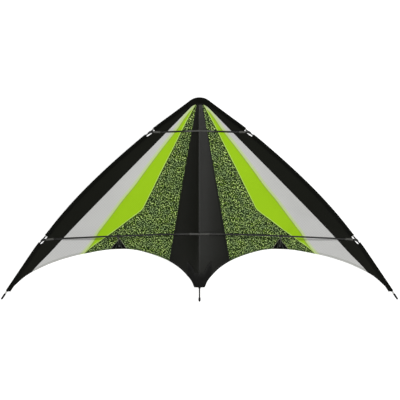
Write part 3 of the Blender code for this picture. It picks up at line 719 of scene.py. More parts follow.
def panelOffsets(flat, innerSide, outerSide):
    # Middle surface and half thickness: a panel sinks where it passes under its neighbour,
    # swells over its hem with the line sewn into it, and thins to a rounded edge.
    drop = np.zeros(flat.shape[:2])
    soft = sailCloth["lapSoft"]
    if innerSide is not None:
        drop += smoothStep((soft - innerSide) / (2 * soft)) * sailCloth["lapDrop"]
    if outerSide is not None:
        drop += smoothStep((soft + outerSide) / (2 * soft)) * sailCloth["lapDrop"]
    hem = hemDistance(flat)
    swell = smoothStep((sailCloth["hem"] + 0.0006 - hem) / 0.0010) * sailCloth["hemRise"]
    swell += sailCloth["leechLine"] * np.exp(-((hem - 0.0024) / 0.0012)**2)
    half = (sailCloth["thickness"] / 2 + swell) * (0.35 + 0.65 * smoothStep(hem / 0.0012))
    return -drop, half


def cellMiddle(grid):
    return (grid[:-1, :-1] + grid[1:, 1:]) / 2


def outside(flat, centre, radius):
    # the cells of a grid that a round hole leaves
    return np.linalg.norm(cellMiddle(flat) - np.array(centre), axis=-1) > radius


def sewPanel(name, flat, material, innerSide, outerSide, under, keep=None):
    # innerSide and outerSide are distances from the two seams; under says which pass beneath
    drop, half = panelOffsets(flat, innerSide if under[0] else None,
                              outerSide if under[1] else None)
    marks = {"fromInner": innerSide, "fromOuter": -outerSide, "fromHem": hemDistance(flat),
             "along": runningLength(flat), "fromSpine": np.abs(flat[..., 0])}
    return wingPieces(name + "_cloth", onSail(flat, drop + half), onSail(flat, drop - half),
                      material, flat, marks, keep)


def panelBetween(name, innerKnots, outerKnots, columns, material, under, hole=None):
    left = seamTrack(innerKnots, -sailCloth["lap"] if under[0] else 0.0)
    right = seamTrack(outerKnots, sailCloth["lap"] if under[1] else 0.0)
    flat = between(left, right, *panelShares(left, right, columns))
    return sewPanel(name, flat, material, seamDistance(innerKnots, flat),
                    seamDistance(outerKnots, flat), under, outside(flat, *hole) if hole else None)


footHole = ((feet["u"], -feet["s"]), 0.0036)
panels = {
    "pattern_panel": (centreSeam, patternSeam, 72, printedRipstop, (True, True), footHole),
    "lime_panel": (patternSeam, limeSeam, 28, limeRipstop, (False, False)),
    "grey_panel": (limeSeam, greySeam, 36, greyRipstop, (True, True)),
}
sheets = {panelName: panelBetween(panelName, *making) for panelName, making in panels.items()}
print("coloured panels sewn")

edgeReach = {"panel": 0.006, "start": 0.0121, "end": 0.778}


def inNotch(s):
    return ((s > notchS[0]) & (s < notchS[1])) | ((s > notchS[2]) & (s < notchS[3]))


def edgePanels():
    # from the grey panel's seam to just inside the sleeve
    left = seamTrack(greySeam, 0.0)
    span = edgeReach["end"] - edgeReach["start"]

    def right(t):
        return leadingPoint(edgeReach["start"] + span * t, spar["inset"] + edgeReach["panel"])
    t, c = panelShares(left, right, 36, (notchS - edgeReach["start"]) / span)
    flat = between(left, right, t, c)
    s = edgeReach["start"] + span * t
    away = np.linalg.norm(flat - leadingPoint(s, spar["inset"]), axis=-1)
    gone = inNotch((s[:-1] + s[1:]) / 2)[:, :-1] & (cellMiddle(away) < notches["reach"])
    return sewPanel("edge_panel", flat, blackRipstop, seamDistance(greySeam, flat),
                    edgeReach["panel"] - away, (False, False), ~gone)


opening = {"share": 0.0450, "half": 0.0046}    # of the half width there, and metres each way
centreRight = seamTrack(centreSeam, 0.0)


def centreLeft(t):
    return centreRight(t) * np.array([-1.0, 1.0])


def centrePanel():
    # One panel across the spine, with the opening that the centre fitting passes through.
    # The columns crowd towards the spine, spaced as a hyperbolic sine.
    crowd = 3.2
    share = np.sinh(np.linspace(0, crowd, 31)) / math.sinh(crowd)
    share[np.argmin(np.abs(share - opening["share"]))] = opening["share"]
    share = np.concatenate([-share[:0:-1], share])
    tail = float(trailingDepth(0.0)) - panelTop
    stations = (spreaders["middle"] + opening["half"] * np.array([-1, 1]) - panelTop) / tail
    t = np.unique(np.concatenate([np.linspace(0, 0.985, sailCloth["rows"]), stations]))
    hem = 1 - sailCloth["hemRows"] / 0.70
    t, c = np.meshgrid(np.concatenate([t[t < hem[0] - 0.003], hem]), (share + 1) / 2,
                       indexing="ij")
    flat = between(centreLeft, centreRight, t, c)
    across = (share[:-1] + share[1:]) / 2
    cut = ((np.abs(across)[None] < opening["share"])
           & (np.abs(cellMiddle(flat)[..., 1] + spreaders["middle"]) < opening["half"]))
    away = seamDistance(centreSeam, np.abs(flat) * np.array([1, -1]))
    drop, half = panelOffsets(flat, None, None)
    marks = {"fromOuter": -away, "fromInner": np.full_like(away, 1.0),
             "fromHem": hemDistance(flat), "along": -flat[..., 1],
             "fromSpine": np.abs(flat[..., 0])}
    return clothPiece("centre_panel_cloth", onSail(flat, drop + half), onSail(flat, drop - half),
                      polishedRipstop, flat, marks, ~cut)


sheets["edge_panel"] = edgePanels()
sheets["centre_panel"] = [centrePanel()]
print("black panels sewn")

# flange gives the section's columns each side, as distances from the spar's axis
sleeveShape = {"outer": 0.0058, "wall": 0.0005, "overCloth": 0.00022, "pucker": 0.00012,
               "slant": 0.004, "slantFrom": 0.74, "fold": 0.0002, "turns": (44, 316), "cutAt": 3,
               "flange": [0.0120, 0.0117, 0.0105, 0.0092, 0.0080, 0.0066, 0.0052]}


def leadingSleeves():
    # The tape's section, from its front flange round the spar to its back flange, carried
    # down the leading edge, with the part round the spar left out along the notches.
    shape = sleeveShape
    flange = shape["flange"]
    cutAt = shape["cutAt"]
    notchEnds = (notchS[:2], notchS[2:])
    s = (np.linspace(0, 1, 230)**1.15 * (edgeReach["end"] - edgeReach["start"])
         + edgeReach["start"])
    turned = np.cos(np.linspace(0, np.pi, 17))
    inside = [0.5 * (a + b) + 0.5 * (b - a) * turned for a, b in notchEnds]
    beside = notchS + 0.0015 * np.array([-1, 1, -1, 1])
    s = np.unique(np.concatenate([s, *inside, beside]).round(9))
    axis = leadingPoint(s, spar["inset"])
    inward = edgeNormal(s)
    cut = np.full_like(s, flange[cutAt])
    for a, b in notchEnds:
        off = np.abs(s - 0.5 * (a + b)) / (0.5 * (b - a))
        oval = notches["narrow"] + (notches["wide"] - notches["narrow"]) * np.sqrt(
            np.clip(1 - off**2, 0, 1))
        cut = np.where(off < 1.00001, oval, cut)
    slant = shape["slant"] * smoothStep(
        (s - shape["slantFrom"]) / (edgeReach["end"] - shape["slantFrom"]))

    def flangeLine(place):
        # the columns nearer the spar than the cut keep their order between it and the spar
        a = flange[place]
        share = (flange[cutAt] - a) / (flange[cutAt] - flange[-1])
        across = cut + (flange[-1] - cut) * share if place >= cutAt else a
        return leadingPoint(s - slant * a / flange[0], spar["inset"] + across)
    sailPoint = leadingPoint(s, spar["inset"] + edgeReach["panel"])
    tilt = np.arctan2(sailHeight(sailPoint[:, 0], sailPoint[:, 1]), edgeReach["panel"])
    far = runningLength(axis)
    pucker = shape["pucker"] * (np.sin(far * 420) + 0.5 * np.sin(far * 233 + 1.0))
    end = np.minimum(far - far[0], far[-1] - far)
    for i in notchS:
        end = np.minimum(end, np.abs(far - np.interp(i, s, far)))
    thick = shape["fold"] * smoothStep((0.006 - end) / 0.001)      # folded in at each end
    grids = []
    for wall, sign in ((shape["wall"], 1), (0.0, 0)):
        lift = shape["overCloth"] + wall + thick * sign
        radius = shape["outer"] - shape["wall"] + wall + thick * sign + pucker
        front = [onSail(flangeLine(i), lift) for i in range(len(flange))]
        back = [onSail(flangeLine(i), -lift) for i in reversed(range(len(flange)))]
        ring = [np.concatenate([axis + inward * (radius * np.cos(turn + tilt))[:, None],
                                (radius * np.sin(turn + tilt))[:, None]], 1)
                for turn in np.radians(np.linspace(*shape["turns"], 24))]
        grids.append(np.stack(front + ring + back, 1))
    outer, inner = grids
    ringColumns = np.zeros(outer.shape[1] - 1, bool)
    ringColumns[cutAt:-cutAt] = True
    keep = ~(inNotch((s[:-1] + s[1:]) / 2)[:, None] & ringColumns[None])
    around = runningLength(outer[100])
    place = np.stack(np.meshgrid(around, far), -1)
    edge = np.minimum(around, around[-1] - around)
    marks = {"fromHem": np.repeat(edge[None], len(s), 0), "along": place[..., 1]}
    return wingPieces("sleeve_tape", outer, inner, sleeveTape, place, marks, keep, (1, 1))


sheets["leading_edge_sleeve"] = leadingSleeves()

noseShape = {"radius": 0.057, "edgeSlope": 1.343, "end": 0.0272, "endCurve": 9.5, "reach": 0.0475,
             "slopeReach": 0.034, "fullReach": 0.009, "thinReach": 0.0385, "rise": 0.0048,
             "walls": (0.0014, 0.0008), "least": 0.0004}


def noseOutline(u):
    # a round top between the straight leading edges
    u = np.abs(u)
    corner = noseShape["radius"] * math.sin(math.atan(1 / noseShape["edgeSlope"]))
    top = noseShape["radius"] - np.sqrt(noseShape["radius"]**2 - np.minimum(u, corner)**2)
    return top + np.maximum(u - corner, 0) / noseShape["edgeSlope"]


def noseCover():
    # stiff tape folded over the nose: half turns about the outline's edge, flat in front
    # and fuller behind, where the spine's end is
    shape = noseShape
    u = np.sin(np.linspace(-np.pi / 2, np.pi / 2, 69)) * shape["reach"]
    a = np.abs(u)
    slope = np.minimum(a / shape["slopeReach"], 1) * math.atan(1 / shape["edgeSlope"])
    rise = 1 - np.clip((a - shape["fullReach"]) / shape["thinReach"], 0, 1)**2
    end = shape["end"] + shape["endCurve"] * u**2
    outward = 0.0004 * (1 - smoothStep(a / shape["slopeReach"]))
    grids = []
    for wall in shape["walls"]:
        front = np.full_like(u, spar["inset"] + wall)
        back = spar["inset"] + wall + shape["rise"] * rise
        top = noseOutline(u) - (wall - outward * 2.2) / np.cos(slope)
        fold = (spar["inset"] + wall) / np.cos(slope)
        start = np.minimum(top + fold, end - shape["least"])
        flap = [-(end + (start - end) * k) for k in np.linspace(0, 1, 9)[:-1]]
        points = [np.stack([u, v, front], -1) for v in flap]
        for turn in np.radians(np.linspace(90, -90, 19)):
            n = (front - back) / 2 + (front + back) / 2 * math.sin(turn)
            s = np.minimum(top + fold * (1 - math.cos(turn)), end - shape["least"])
            points.append(np.stack([u, -s, n], -1))
        points += [np.stack([u, v, -back], -1) for v in flap[::-1]]
        grids.append(np.stack(points))
    outer, inner = grids
    across = np.repeat(u[None], len(outer), 0)
    far = runningLength(outer)
    marks = {"fromHem": np.minimum(far, far[-1:] - far), "along": across + 0.05}
    return clothPiece("nose_tape", outer, inner, sleeveTape, np.stack([across, far], -1), marks)


sheets["nose_cover"] = [noseCover()]

# fan gives where the two broad rows of stitches run, as a share of the half width
patchShape = {"top": 0.572, "halfTop": 0.0015, "halfBase": 0.0356, "middle": 0.3268,
              "lean": 0.0044, "raised": 0.00055, "half": 0.00025, "length": 0.038, "fan": 0.38}


def standOffPatches():
    # a triangle from its point near the stand-off to the trailing edge
    shape = patchShape
    down, across = np.meshgrid(np.linspace(0, 1, 30), np.linspace(-1, 1, 41), indexing="ij")
    half = shape["halfTop"] + (shape["halfBase"] - shape["halfTop"]) * down
    u = shape["middle"] + shape["lean"] * down + half * across
    base = trailingDepth(u) - 0.0002
    flat = np.stack([u, -(shape["top"] + (base - shape["top"]) * down)], -1)
    fan = np.abs(np.abs(across) - shape["fan"]) * half + 0.004 * np.exp(-down / 0.12)
    edge = np.minimum((1 - np.abs(across)) * half, (1 - down) * shape["length"])
    swell = shape["raised"] + sailCloth["hemRise"] * 2
    marks = {"fromHem": edge, "fan": fan, "along": down * shape["length"]}
    return wingPieces("corner_patch", onSail(flat, swell + shape["half"]),
                      onSail(flat, swell - shape["half"]), patchTape, flat, marks,
                      outside(flat, *footHole))


sheets["stand_off_patch"] = standOffPatches()

# top, bottom and half are shares of the centre panel's length and half width
tailShape = {"top": 0.920, "bottom": 0.9995, "half": 0.42, "wide": 0.121, "long": 0.74,
             "raised": 0.0008, "halfThick": 0.0003}


def tailPatch():
    # doubled cloth over the narrow end of the centre panel
    shape = tailShape
    t, share = np.meshgrid(np.linspace(shape["top"], shape["bottom"], 30),
                           np.linspace(-shape["half"], shape["half"], 31), indexing="ij")
    flat = between(centreLeft, centreRight, t, (share + 1) / 2)
    down = (t - shape["top"]) * shape["long"]
    edge = np.minimum((shape["half"] - np.abs(share)) * shape["wide"], down)
    marks = {"fromHem": np.minimum(edge, hemDistance(flat)), "fromTop": down,
             "along": np.abs(flat[..., 0]) + t * 0.7}
    raised = shape["raised"] + 2 * sailCloth["hemRise"]
    return clothPiece("tail_reinforcement", onSail(flat, raised + shape["halfThick"]),
                      onSail(flat, raised - shape["halfThick"]), tailTape, flat, marks)


sheets["tail_patch"] = [tailPatch()]
print("tapes and patches sewn")

# Flat size of each cut in metres before it is folded and sewn, its width by its length
# along the seam, then its area where it isn't a full rectangle, and its material slot.
cuts = {
    "pattern_panel": ((0.36, 0.74), 0.087, "patterned_ripstop"),
    "lime_panel": ((0.12, 0.78), 0.035, "lime_ripstop"),
    "grey_panel": ((0.20, 0.98), 0.071, "grey_ripstop"),
    "edge_panel": ((0.10, 1.04), 0.052, "black_ripstop"),
    "centre_panel": ((0.248, 0.74), 0.108, "black_ripstop"),
    "leading_edge_sleeve": ((0.046, 1.10), None, "black_reinforcement"),
    "nose_cover": ((0.095, 0.110), 0.0075, "black_reinforcement"),
    "stand_off_patch": ((0.072, 0.044), 0.0016, "black_reinforcement"),
    "tail_patch": ((0.104, 0.105), 0.0073, "black_reinforcement"),
}
for kind, (flatSize, area, slot) in cuts.items():
    for piece in sheets[kind]:
        side = piece.name.split("_")[0] + "_" if piece.name.startswith(("left", "right")) else ""
        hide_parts(side + kind)

# Rods, each one a straight or gently curved tube with its ends broken.
rodShape = {"bevel": 0.0006, "secondBevel": 0.35, "tipS": 0.800, "inSocket": 0.0072,
            "fromMiddle": 0.0086}
spineLine = {"n": -0.0065, "radius": 0.0031, "start": 0.007, "end": 0.8088}
bossS = {"upper": 0.1388, "lower": 0.5737}      # depth of each connector's middle on the spar


def sparLine(s):
    return np.concatenate([leadingPoint(s, spar["inset"]), np.zeros((len(s), 1))], 1)


def brokenRadii(count, radius, bevel):
    radii = np.full(count, radius)
    radii[[0, -1]] -= bevel
    radii[[1, -2]] -= rodShape["secondBevel"] * bevel
    return radii


def straightRod(start, end, radius, bevel):
    # path and radii of a straight rod with its two edges broken
    start = np.array(start, float)
    end = np.array(end, float)
    broken = np.array([0, 0.25, 1]) * bevel / np.linalg.norm(end - start)
    middle = np.linspace(broken[2], 1 - broken[2], 9)[1:-1]
    at = np.concatenate([broken, middle, 1 - broken[::-1]])
    return start + (end - start) * at[:, None], brokenRadii(len(at), radius, bevel)


def bowedRod(row, start, end):
    # a spreader's path between two places across, with the radii of its broken ends
    bevel = rodShape["bevel"] * math.copysign(1, end - start)
    broken = np.array([0, 0.25, 1]) * bevel
    middle = np.linspace(start + 2 * bevel, end - 2 * bevel, 60)
    u = np.concatenate([start + broken, middle, end - broken[::-1]])
    return spreaderAt(row, u), brokenRadii(len(u), spreaders[row]["radius"], rodShape["bevel"])


def makeRods():
    line = sparLine(np.linspace(edgeReach["start"], rodShape["tipS"], 90))
    radii = np.full(90, spar["radius"])
    radii[[0, -1]] -= rodShape["bevel"]
    reach = float(sparLine(np.array([bossS["upper"]]))[0, 0]) - rodShape["inSocket"]
    spine = straightRod((0, -spineLine["start"], spineLine["n"]),
                        (0, -spineLine["end"], spineLine["n"]), spineLine["radius"],
                        rodShape["bevel"])
    rods = {"spine": ("spine_rod", spine, greyRod, (1, 0, 0)),
            "upper_spreader": ("upper_spreader_rod", bowedRod("upper", -reach, reach), paintedHighlightRod)}
    for flip, word in wings:
        rods[word + "leading_edge_spar"] = (word + "spar_rod", (line * flip, radii), blackRod)
        rods[word + "lower_spreader"] = (word + "lower_spreader_rod", bowedRod(
            "lower", flip[0] * rodShape["fromMiddle"], flip[0] * spreaders["tip"]), paintedHighlightLowerRod)
    for node, (name, (path, thick), material, *up) in rods.items():
        piece = tubePiece(name, path, thick, material, up=up[0] if up else (0, 0, 1))
        standIn(node)


makeRods()


def rod(start, end, radius, sides=40, up=(0.3, 0.2, 1.0)):
    return tubeShell(np.linspace(start, end, 3), radius, sides, up)


def block(low, high):
    x, y, z = np.meshgrid(*[[a, b] for a, b in zip(low, high)], indexing="ij")
    points = np.stack([x, y, z], -1).reshape(-1, 3)
    return points, [np.array([[0, 1, 3, 2], [4, 6, 7, 5], [0, 4, 5, 1], [2, 3, 7, 6],
                              [0, 2, 6, 4], [1, 5, 7, 3]])]


def workObject(shells):
    lists = []
    count = 0
    for points, faces in shells:
        for rows in faces:
            lists += (rows + count).tolist()
        count += len(points)
    mesh = bpy.data.meshes.new("work")
    mesh.from_pydata(np.concatenate([points for points, faces in shells]).tolist(), [], lists)
    return newObject("work", mesh)


def moulded(shells, holes, voxel=0.00035, easing=5):
    # One skin over all the shells less the holes, with its edges and inner corners
    # rounded by easing, as they come out of a mould.
    work = workObject(shells)
    tool = workObject(holes)
    cut = work.modifiers.new("cut", "BOOLEAN")
    cut.object = tool
    cut.operation = "DIFFERENCE"
    cut.solver = "EXACT"
    cut.use_self = True
    skin = work.modifiers.new("skin", "REMESH")
    skin.mode = "VOXEL"
    skin.voxel_size = voxel
    ease = work.modifiers.new("ease", "SMOOTH")
    ease.factor = 0.5
    ease.iterations = easing
    done = work.evaluated_get(bpy.context.evaluated_depsgraph_get()).to_mesh()
    points = np.zeros(len(done.vertices) * 3)
    done.vertices.foreach_get("co", points)
    corner = np.zeros(len(done.loops), np.int32)
    done.loops.foreach_get("vertex_index", corner)
    starts = np.zeros(len(done.polygons), np.int32)
    done.polygons.foreach_get("loop_start", starts)
    sizes = np.diff(np.append(starts, len(corner)))
    faces = [corner[starts[sizes == n][:, None] + np.arange(n)] for n in np.unique(sizes)]
    for item in (work, tool):
        bpy.data.objects.remove(item, do_unlink=True)
    return points.reshape(-1, 3), faces


def mouldedLean(shells, holes, angle, origin):
    # a small fitting drawn upright, leaned about X and moved to its place on the kite
    placed = [[(leaned(points, angle) + origin, faces) for points, faces in part]
              for part in (shells, holes)]
    return moulded(*placed, voxel=0.0003, easing=3)


def bothSides(node, skin, material, moving=False, marks=None):
    points, faces = skin
    for flip, word in wings:
        facing = faces if flip[0] > 0 else [f[:, ::-1] for f in faces]
        piece = makePiece(word + node + "_moulding", points * flip, facing, material,
                          word + "stand_off" if moving else "kite", marks=marks)
        standIn(word + node)


# Soft vinyl connectors: a short tube round the spar, and a socket for the spreader with a
# lip at its open end. end is how far out the open end is, across the kite.
connectorShape = {
    "bossHalf": 0.0058, "boss": 0.0046, "bore": 0.00315, "arm": 0.0042, "lip": 0.0046,
    "root": 0.0049, "web": [0.0042, 0.0040, 0.0038, 0.0036, 0.0034], "webReach": 0.011,
    "slack": 0.00015, "whiteFrom": 0.0145, "whiteSoft": 0.004,
    "end": {"upper": 0.159, "lower": 0.588},
}


def makeConnectors():
    shape = connectorShape
    for row in ("upper", "lower"):
        boss = sparLine(alongEdge(bossS[row], -shape["bossHalf"], shape["bossHalf"], 7))
        root = boss[3]
        end = shape["end"][row]
        length = root[0] - end
        away = np.concatenate([[0, 0.0001, 0.0024, 0.0030, 0.006, 0.012],
                               np.linspace(0.016, length - 0.008, 8), [length - 0.004, length]])
        radii = ([shape["lip"] - 0.0002] + [shape["lip"]] * 2 + [shape["arm"]] * 11
                 + [0.5 * (shape["arm"] + shape["root"]), shape["root"]])
        web = np.linspace(root, spreaderAt(row, root[0] - shape["webReach"]), 5)
        socket = spreaderAt(row, np.linspace(root[0] - 0.0068, end - 0.01, 20))
        points, faces = moulded(
            [tubeShell(boss, shape["boss"]), tubeShell(spreaderAt(row, end + away), radii),
             tubeShell(web, shape["web"])],
            [tubeShell(sparLine(alongEdge(bossS[row], -0.02, 0.02, 7)), shape["bore"]),
             tubeShell(socket, spreaders[row]["radius"] + shape["slack"])])
        # painted light on the arm's outer part, past the painted shade on the boss and root
        paintedLightShare = (root[0] - points[:, 0] - shape["whiteFrom"]) / shape["whiteSoft"]
        bothSides(row + "_connector", (points, faces), paintedShadeVinyl,
                  marks={"stretched": smoothStep(paintedLightShare)})


makeConnectors()

# The centre fitting: a tube round the spine behind the sail, a neck through the sail's
# opening, and a socket each way for the lower spreaders.
centreShape = {"tube": 0.0041, "tubeHalf": 0.017, "neckHalf": (0.0044, 0.0041), "neckTop": 0.0034,
               "bore": 0.0033, "arm": 0.0040, "lip": 0.0045, "reach": 0.0395, "split": 0.0009,
               "socket": 0.0083}


def makeCentreFitting():
    shape = centreShape
    v = -spreaders["middle"]
    n = spineLine["n"]
    wide, long = shape["neckHalf"]
    shells = [rod((0, v - shape["tubeHalf"], n), (0, v + shape["tubeHalf"], n), shape["tube"]),
              block((-wide, v - long, n), (wide, v + long, shape["neckTop"]))]
    holes = [rod((0, v - 0.03, n), (0, v + 0.03, n), shape["bore"])]
    u = np.array([shape["split"], 0.004, 0.012, 0.022, 0.0325, 0.0342, 0.0348,
                  shape["reach"] - 0.0004, shape["reach"]])
    radii = [shape["arm"]] * 6 + [shape["lip"]] * 2 + [shape["lip"] - 0.0003]
    socket = np.linspace(shape["socket"], 0.05, 9)
    for side in (-1, 1):
        shells.append(tubeShell(spreaderAt("lower", side * u), radii))
        holes.append(tubeShell(spreaderAt("lower", side * socket),
                               spreaders["lower"]["radius"] + connectorShape["slack"]))
    piece = makePiece("centre_fitting_moulding", *moulded(shells, holes), softVinyl)
    standIn("centre_fitting")


makeCentreFitting()

# pin is the joint's own place on the kite as it lies, pivotHeight its height above the
# sail fitting's middle, and prongs are the fork's two faces on each side
standOffShape = {
    "pin": (0.328, -0.214336, 0.012403), "pinRadius": 0.0015,
    "pivotHeight": 0.0084, "footToRod": 0.0085, "clipToRod": 0.0078, "rod": 0.002,
    "sleeve": 0.0036, "ring": 0.0055, "ringHalf": 0.0045, "seat": 0.0033, "mouth": 0.0030,
    "eyeHalf": 0.0027, "eye": 0.0031, "prongs": (0.0034, 0.0052), "prong": 0.0030,
    "button": 0.0069, "plate": 0.0055, "post": 0.0026, "axle": 0.0012,
}


def makeStandOffs():
    # Each stand-off leans from its pin to the clip on the lower spreader, drawn upright
    # from the pin and then leaned about it.
    shape = standOffShape
    pivot = onKite([shape["pin"]])[0]
    reach = spreaderAt("lower", np.array([feet["u"]]))[0] - pivot
    lean = -math.atan2(reach[1], reach[2])
    length = math.hypot(reach[1], reach[2])
    up = (0.2, 1.0, 0.3)
    eye = shape["eyeHalf"]
    foot = [rod((0, 0, 0.0058), (0, 0, 0.020), shape["sleeve"], up=up),
            block((-eye, -0.0028, 0.0006), (eye, 0.0028, 0.0075)),
            rod((-eye, 0, 0), (eye, 0, 0), shape["eye"])]
    pin = [rod((-0.01, 0, 0), (0.01, 0, 0), shape["pinRadius"])]
    clip = [rod((-shape["ringHalf"], 0, length), (shape["ringHalf"], 0, length), shape["ring"]),
            rod((0, 0, length - 0.020), (0, 0, length - 0.0045), shape["sleeve"], up=up)]
    seat = [rod((-0.02, 0, length), (0.02, 0, length), shape["seat"]),
            block((-0.02, 0, length - shape["mouth"]), (0.02, 0.02, length + shape["mouth"]))]
    for node, shells, holes in (("foot", foot, pin), ("clip", clip, seat)):
        bothSides("stand_off_" + node, mouldedLean(shells, holes, lean, pivot), darkVinyl, True)
    ends = np.array([[0, 0, shape["footToRod"]], [0, 0, length - shape["clipToRod"]]])
    low, high = leaned(ends, lean) + pivot
    for flip, word in wings:
        path, radii = straightRod(low * flip, high * flip, shape["rod"], 0.0004)
        piece = tubePiece(word + "stand_off_strut", path, radii, dullRod, up=(0, 1, 0),
                          body=word + "stand_off")
        standIn(word + "stand_off_rod")
    # the button, post and fork stand upright on the floor below the pin
    top = shape["pivotHeight"]
    near, far = shape["prongs"]
    fitting = [rod((0, 0, -0.0040), (0, 0, -0.0020), shape["button"], 64, up),
               rod((0, 0, -0.003), (0, 0, 0.0035), shape["post"], up=up),
               rod((0, 0, 0.0029), (0, 0, 0.0040), shape["plate"], 64, up),
               rod((-0.0046, 0, top), (0.0046, 0, top), shape["axle"])]
    for left, right in ((-far, -near), (near, far)):
        fitting += [block((left, -0.0027, 0.0034), (right, 0.0027, top)),
                    rod((left, 0, top), (right, 0, top), shape["prong"])]
    tilt = kiteLie["tilt"]
    origin = pivot + np.array([0, math.sin(tilt), -math.cos(tilt)]) * top
    # the fitting has no hole, so what is cut away lies well clear of it
    away = [rod((0, 0, 0.05), (0, 0, 0.06), 0.001, up=up)]
    bothSides("sail_fitting", mouldedLean(fitting, away, tilt, origin), darkVinyl)


makeStandOffs()
print("fittings moulded")

# Caps, collar and stops: turned pieces, as distance along from their start against radius.
capShape = {
    "wingTip": [(0, 0.0038), (0.0003, 0.0043), (0.0030, 0.0044), (0.0036, 0.0042),
                (0.0232, 0.0038), (0.0250, 0.0033), (0.0259, 0.0022), (0.0262, 0.0008)],
    "tail": [(0, 0.0035), (0.0004, 0.0040), (0.0060, 0.0047), (0.0120, 0.0046), (0.0150, 0.0038),
             (0.0170, 0.0026), (0.0178, 0.0010)],
    "collar": [(0, 0.0042), (0.0004, 0.0049), (0.0066, 0.0049), (0.0070, 0.0042)],
    "stop": [(0, 0.0036), (0.0004, 0.0042), (0.0034, 0.0042), (0.0038, 0.0036)],
    "tipS": 0.790, "tailS": 0.8060, "collarS": 0.7632,
}


def turnedPiece(name, start, step, profile, material, node=None):
    distance, radii = np.array(profile).T
    step = np.array(step, float) / np.linalg.norm(step)
    piece = tubePiece(name, start + step * distance[:, None], radii, material, sides=40,
                      up=(0.1, 0.2, 1))
    standIn(node)


for part, depth, profile in (("cap", capShape["tailS"], capShape["tail"]),
                             ("collar", capShape["collarS"], capShape["collar"])):
    turnedPiece("tail_" + part + "_turned", (0, -depth, spineLine["n"]), (0, -1, 0), profile,
                hardPlastic, "tail_" + part)
for flip, word in wings:
    tip = sparLine(capShape["tipS"] + np.array([0, 0.010])) * flip
    turnedPiece(word + "wing_tip_cap_turned", tip[0], tip[1] - tip[0], capShape["wingTip"],
                hardPlastic, word + "wing_tip_cap")
    for row, depth in (("upper", notchS[0]), ("lower", notchS[2])):
        stop = sparLine(depth + np.array([0, 0.003])) * flip
        turnedPiece(word + row + "_spar_stop", stop[0], stop[1] - stop[0], capShape["stop"],
                    paleVinyl)
print("caps, collar and stops turned")

knotShape = {"cord": 0.0007, "turns": 5, "around": 0.0036, "from": 0.7805, "to": 0.7885,
             "braid": 0.0006, "steps": 18}


def braidedCord():
    # Braided polyester cord: strands cross it slantwise as a fine light and dark twill,
    # soft and without gloss.
    made, tree, shader = newMaterial("braidedPolyesterCord", {"roughness": 0.7, "specular": 0.25})
    split = put(tree, "SeparateXYZ", {"Vector": clothPlace(tree)})
    slant = sumOf(tree, "ADD", split.outputs["Y"], split.outputs["X"])
    braid = sumOf(tree, "MULTIPLY", sumOf(tree, "PINGPONG", slant, knotShape["braid"]),
                  1 / knotShape["braid"])
    linkUp(tree, shader, mixed(tree, braid, linear("C8C8C4"), linear("E4E4E0")), braid,
           0.4, 0.0002)
    return made


def tensionKnots():
    # Pale cord wound round each spar just past its sleeve: a helix about the spar's axis.
    cord = braidedCord()
    shape = knotShape
    turn = np.linspace(0, 2 * np.pi * shape["turns"], shape["steps"] * shape["turns"])
    s = np.linspace(shape["from"], shape["to"], len(turn))
    inward = edgeNormal(s)
    across = inward * (shape["around"] * np.cos(turn))[:, None]
    path = np.concatenate([leadingPoint(s, spar["inset"]) + across,
                           (shape["around"] * np.sin(turn))[:, None]], 1)
    along = np.stack([-inward[:, 1], inward[:, 0], np.zeros(len(s))], -1)
    for flip, word in wings:
        tubePiece(word + "tension_knot", path * flip, np.full(len(turn), shape["cord"]), cord,
                  sides=8, up=along.mean(0) * flip)


tensionKnots()
print("rods and knots placed")

# Studio: a pale table, a soft even world and large soft lights. Each lamp has its power,
# its size and its place.
studio = {"floor": "8E8E8C", "floorShade": "929290", "floorGlow": 0.92, "floorHalf": 40,
          "floorLow": -0.0006, "world": 0.17, "aimHeight": 0.05}
lamps = {
    "right_key": (64.0, (1.6, 3.2), (3.6, 0.3, 3.0)),
    "left_nose_fill": (42.0, (1.6, 3.2), (-2.6, 3.4, 2.6)),
    "left_tail_fill": (88.0, (1.6, 3.2), (-2.6, -3.4, 2.6)),
    "overhead": (150.0, (1.6, 0.10), (0.9, 1.44, 5.0)),
}


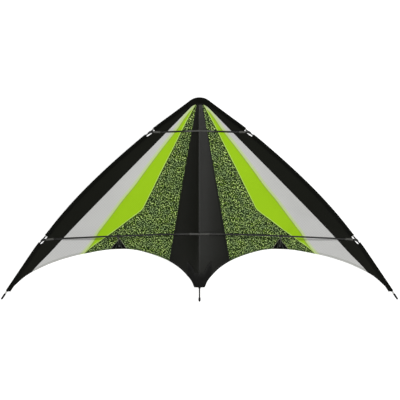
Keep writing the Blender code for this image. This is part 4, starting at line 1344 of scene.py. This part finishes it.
def pointAt(lamp, place, level=False):
    # turned to the middle of the kite; level keeps a long lamp's long side level with
    # the spreaders, so that the rods' shadows stay sharp
    away = np.array(place, float) - np.array((0, 0, studio["aimHeight"]))
    lamp.location = place
    if level:
        lamp.rotation_euler = (-math.asin(away[1] / np.linalg.norm(away)),
                               math.atan2(away[0], away[2]), 0)
    else:
        lamp.rotation_euler = (math.atan2(math.hypot(away[0], away[1]), away[2]), 0,
                               math.atan2(away[0], -away[1]))


def makeStudio():
    half = studio["floorHalf"]
    floorMesh = bpy.data.meshes.new("pale_floor")
    floorMesh.from_pydata([(x, y, studio["floorLow"]) for x, y in (
        (-half, -half), (half, -half), (half, half), (-half, half))], [], [(0, 1, 2, 3)])
    floor = newObject("pale_floor", floorMesh)
    made, tree, shader = newMaterial("pale_floor", {"roughness": 0.9, "specular": 0.1})
    grain = put(tree, "TexNoise", {"Scale": 3.0, "Detail": 2.0}).outputs[0]
    tree.links.new(mixed(tree, grain, linear(studio["floor"]), linear(studio["floorShade"])),
                   shader.inputs["Base Color"])
    shader.inputs["Emission Color"].default_value = (1, 1, 1, 1)
    shader.inputs["Emission Strength"].default_value = studio["floorGlow"]
    floorMesh.materials.append(made)
    world = bpy.data.worlds.new("studio")
    world.use_nodes = True
    back = world.node_tree.nodes["Background"]
    back.inputs["Color"].default_value = (1, 1, 1, 1)
    back.inputs["Strength"].default_value = studio["world"]
    bpy.context.scene.world = world
    for name, (power, size, place) in lamps.items():
        light = bpy.data.lights.new(name, "AREA")
        light.shape = "RECTANGLE"
        light.size, light.size_y = size
        light.energy = power
        pointAt(newObject(name, light), place, level=name == "overhead")


photo = {"lens": 200.0, "sensor": 36.0, "across": 1.612, "u": 0.002, "v": -0.4135}


def makeCamera():
    # square on to the kite's own plane, from far enough that the deep sail isn't shrunk
    data = bpy.data.cameras.new("photo_camera")
    data.lens = photo["lens"]
    data.sensor_width = photo["sensor"]
    data.clip_end = 60
    away = photo["across"] * photo["lens"] / photo["sensor"]
    camera = newObject("photo_camera", data)
    camera.location = asItLies([photo["u"], photo["v"], away]).tolist()
    camera.rotation_euler = (-kiteLie["tilt"], 0, 0)
    bpy.context.scene.camera = camera


makeStudio()
makeCamera()
bpy.context.scene.view_settings.view_transform = "Standard"
print("studio and camera placed")
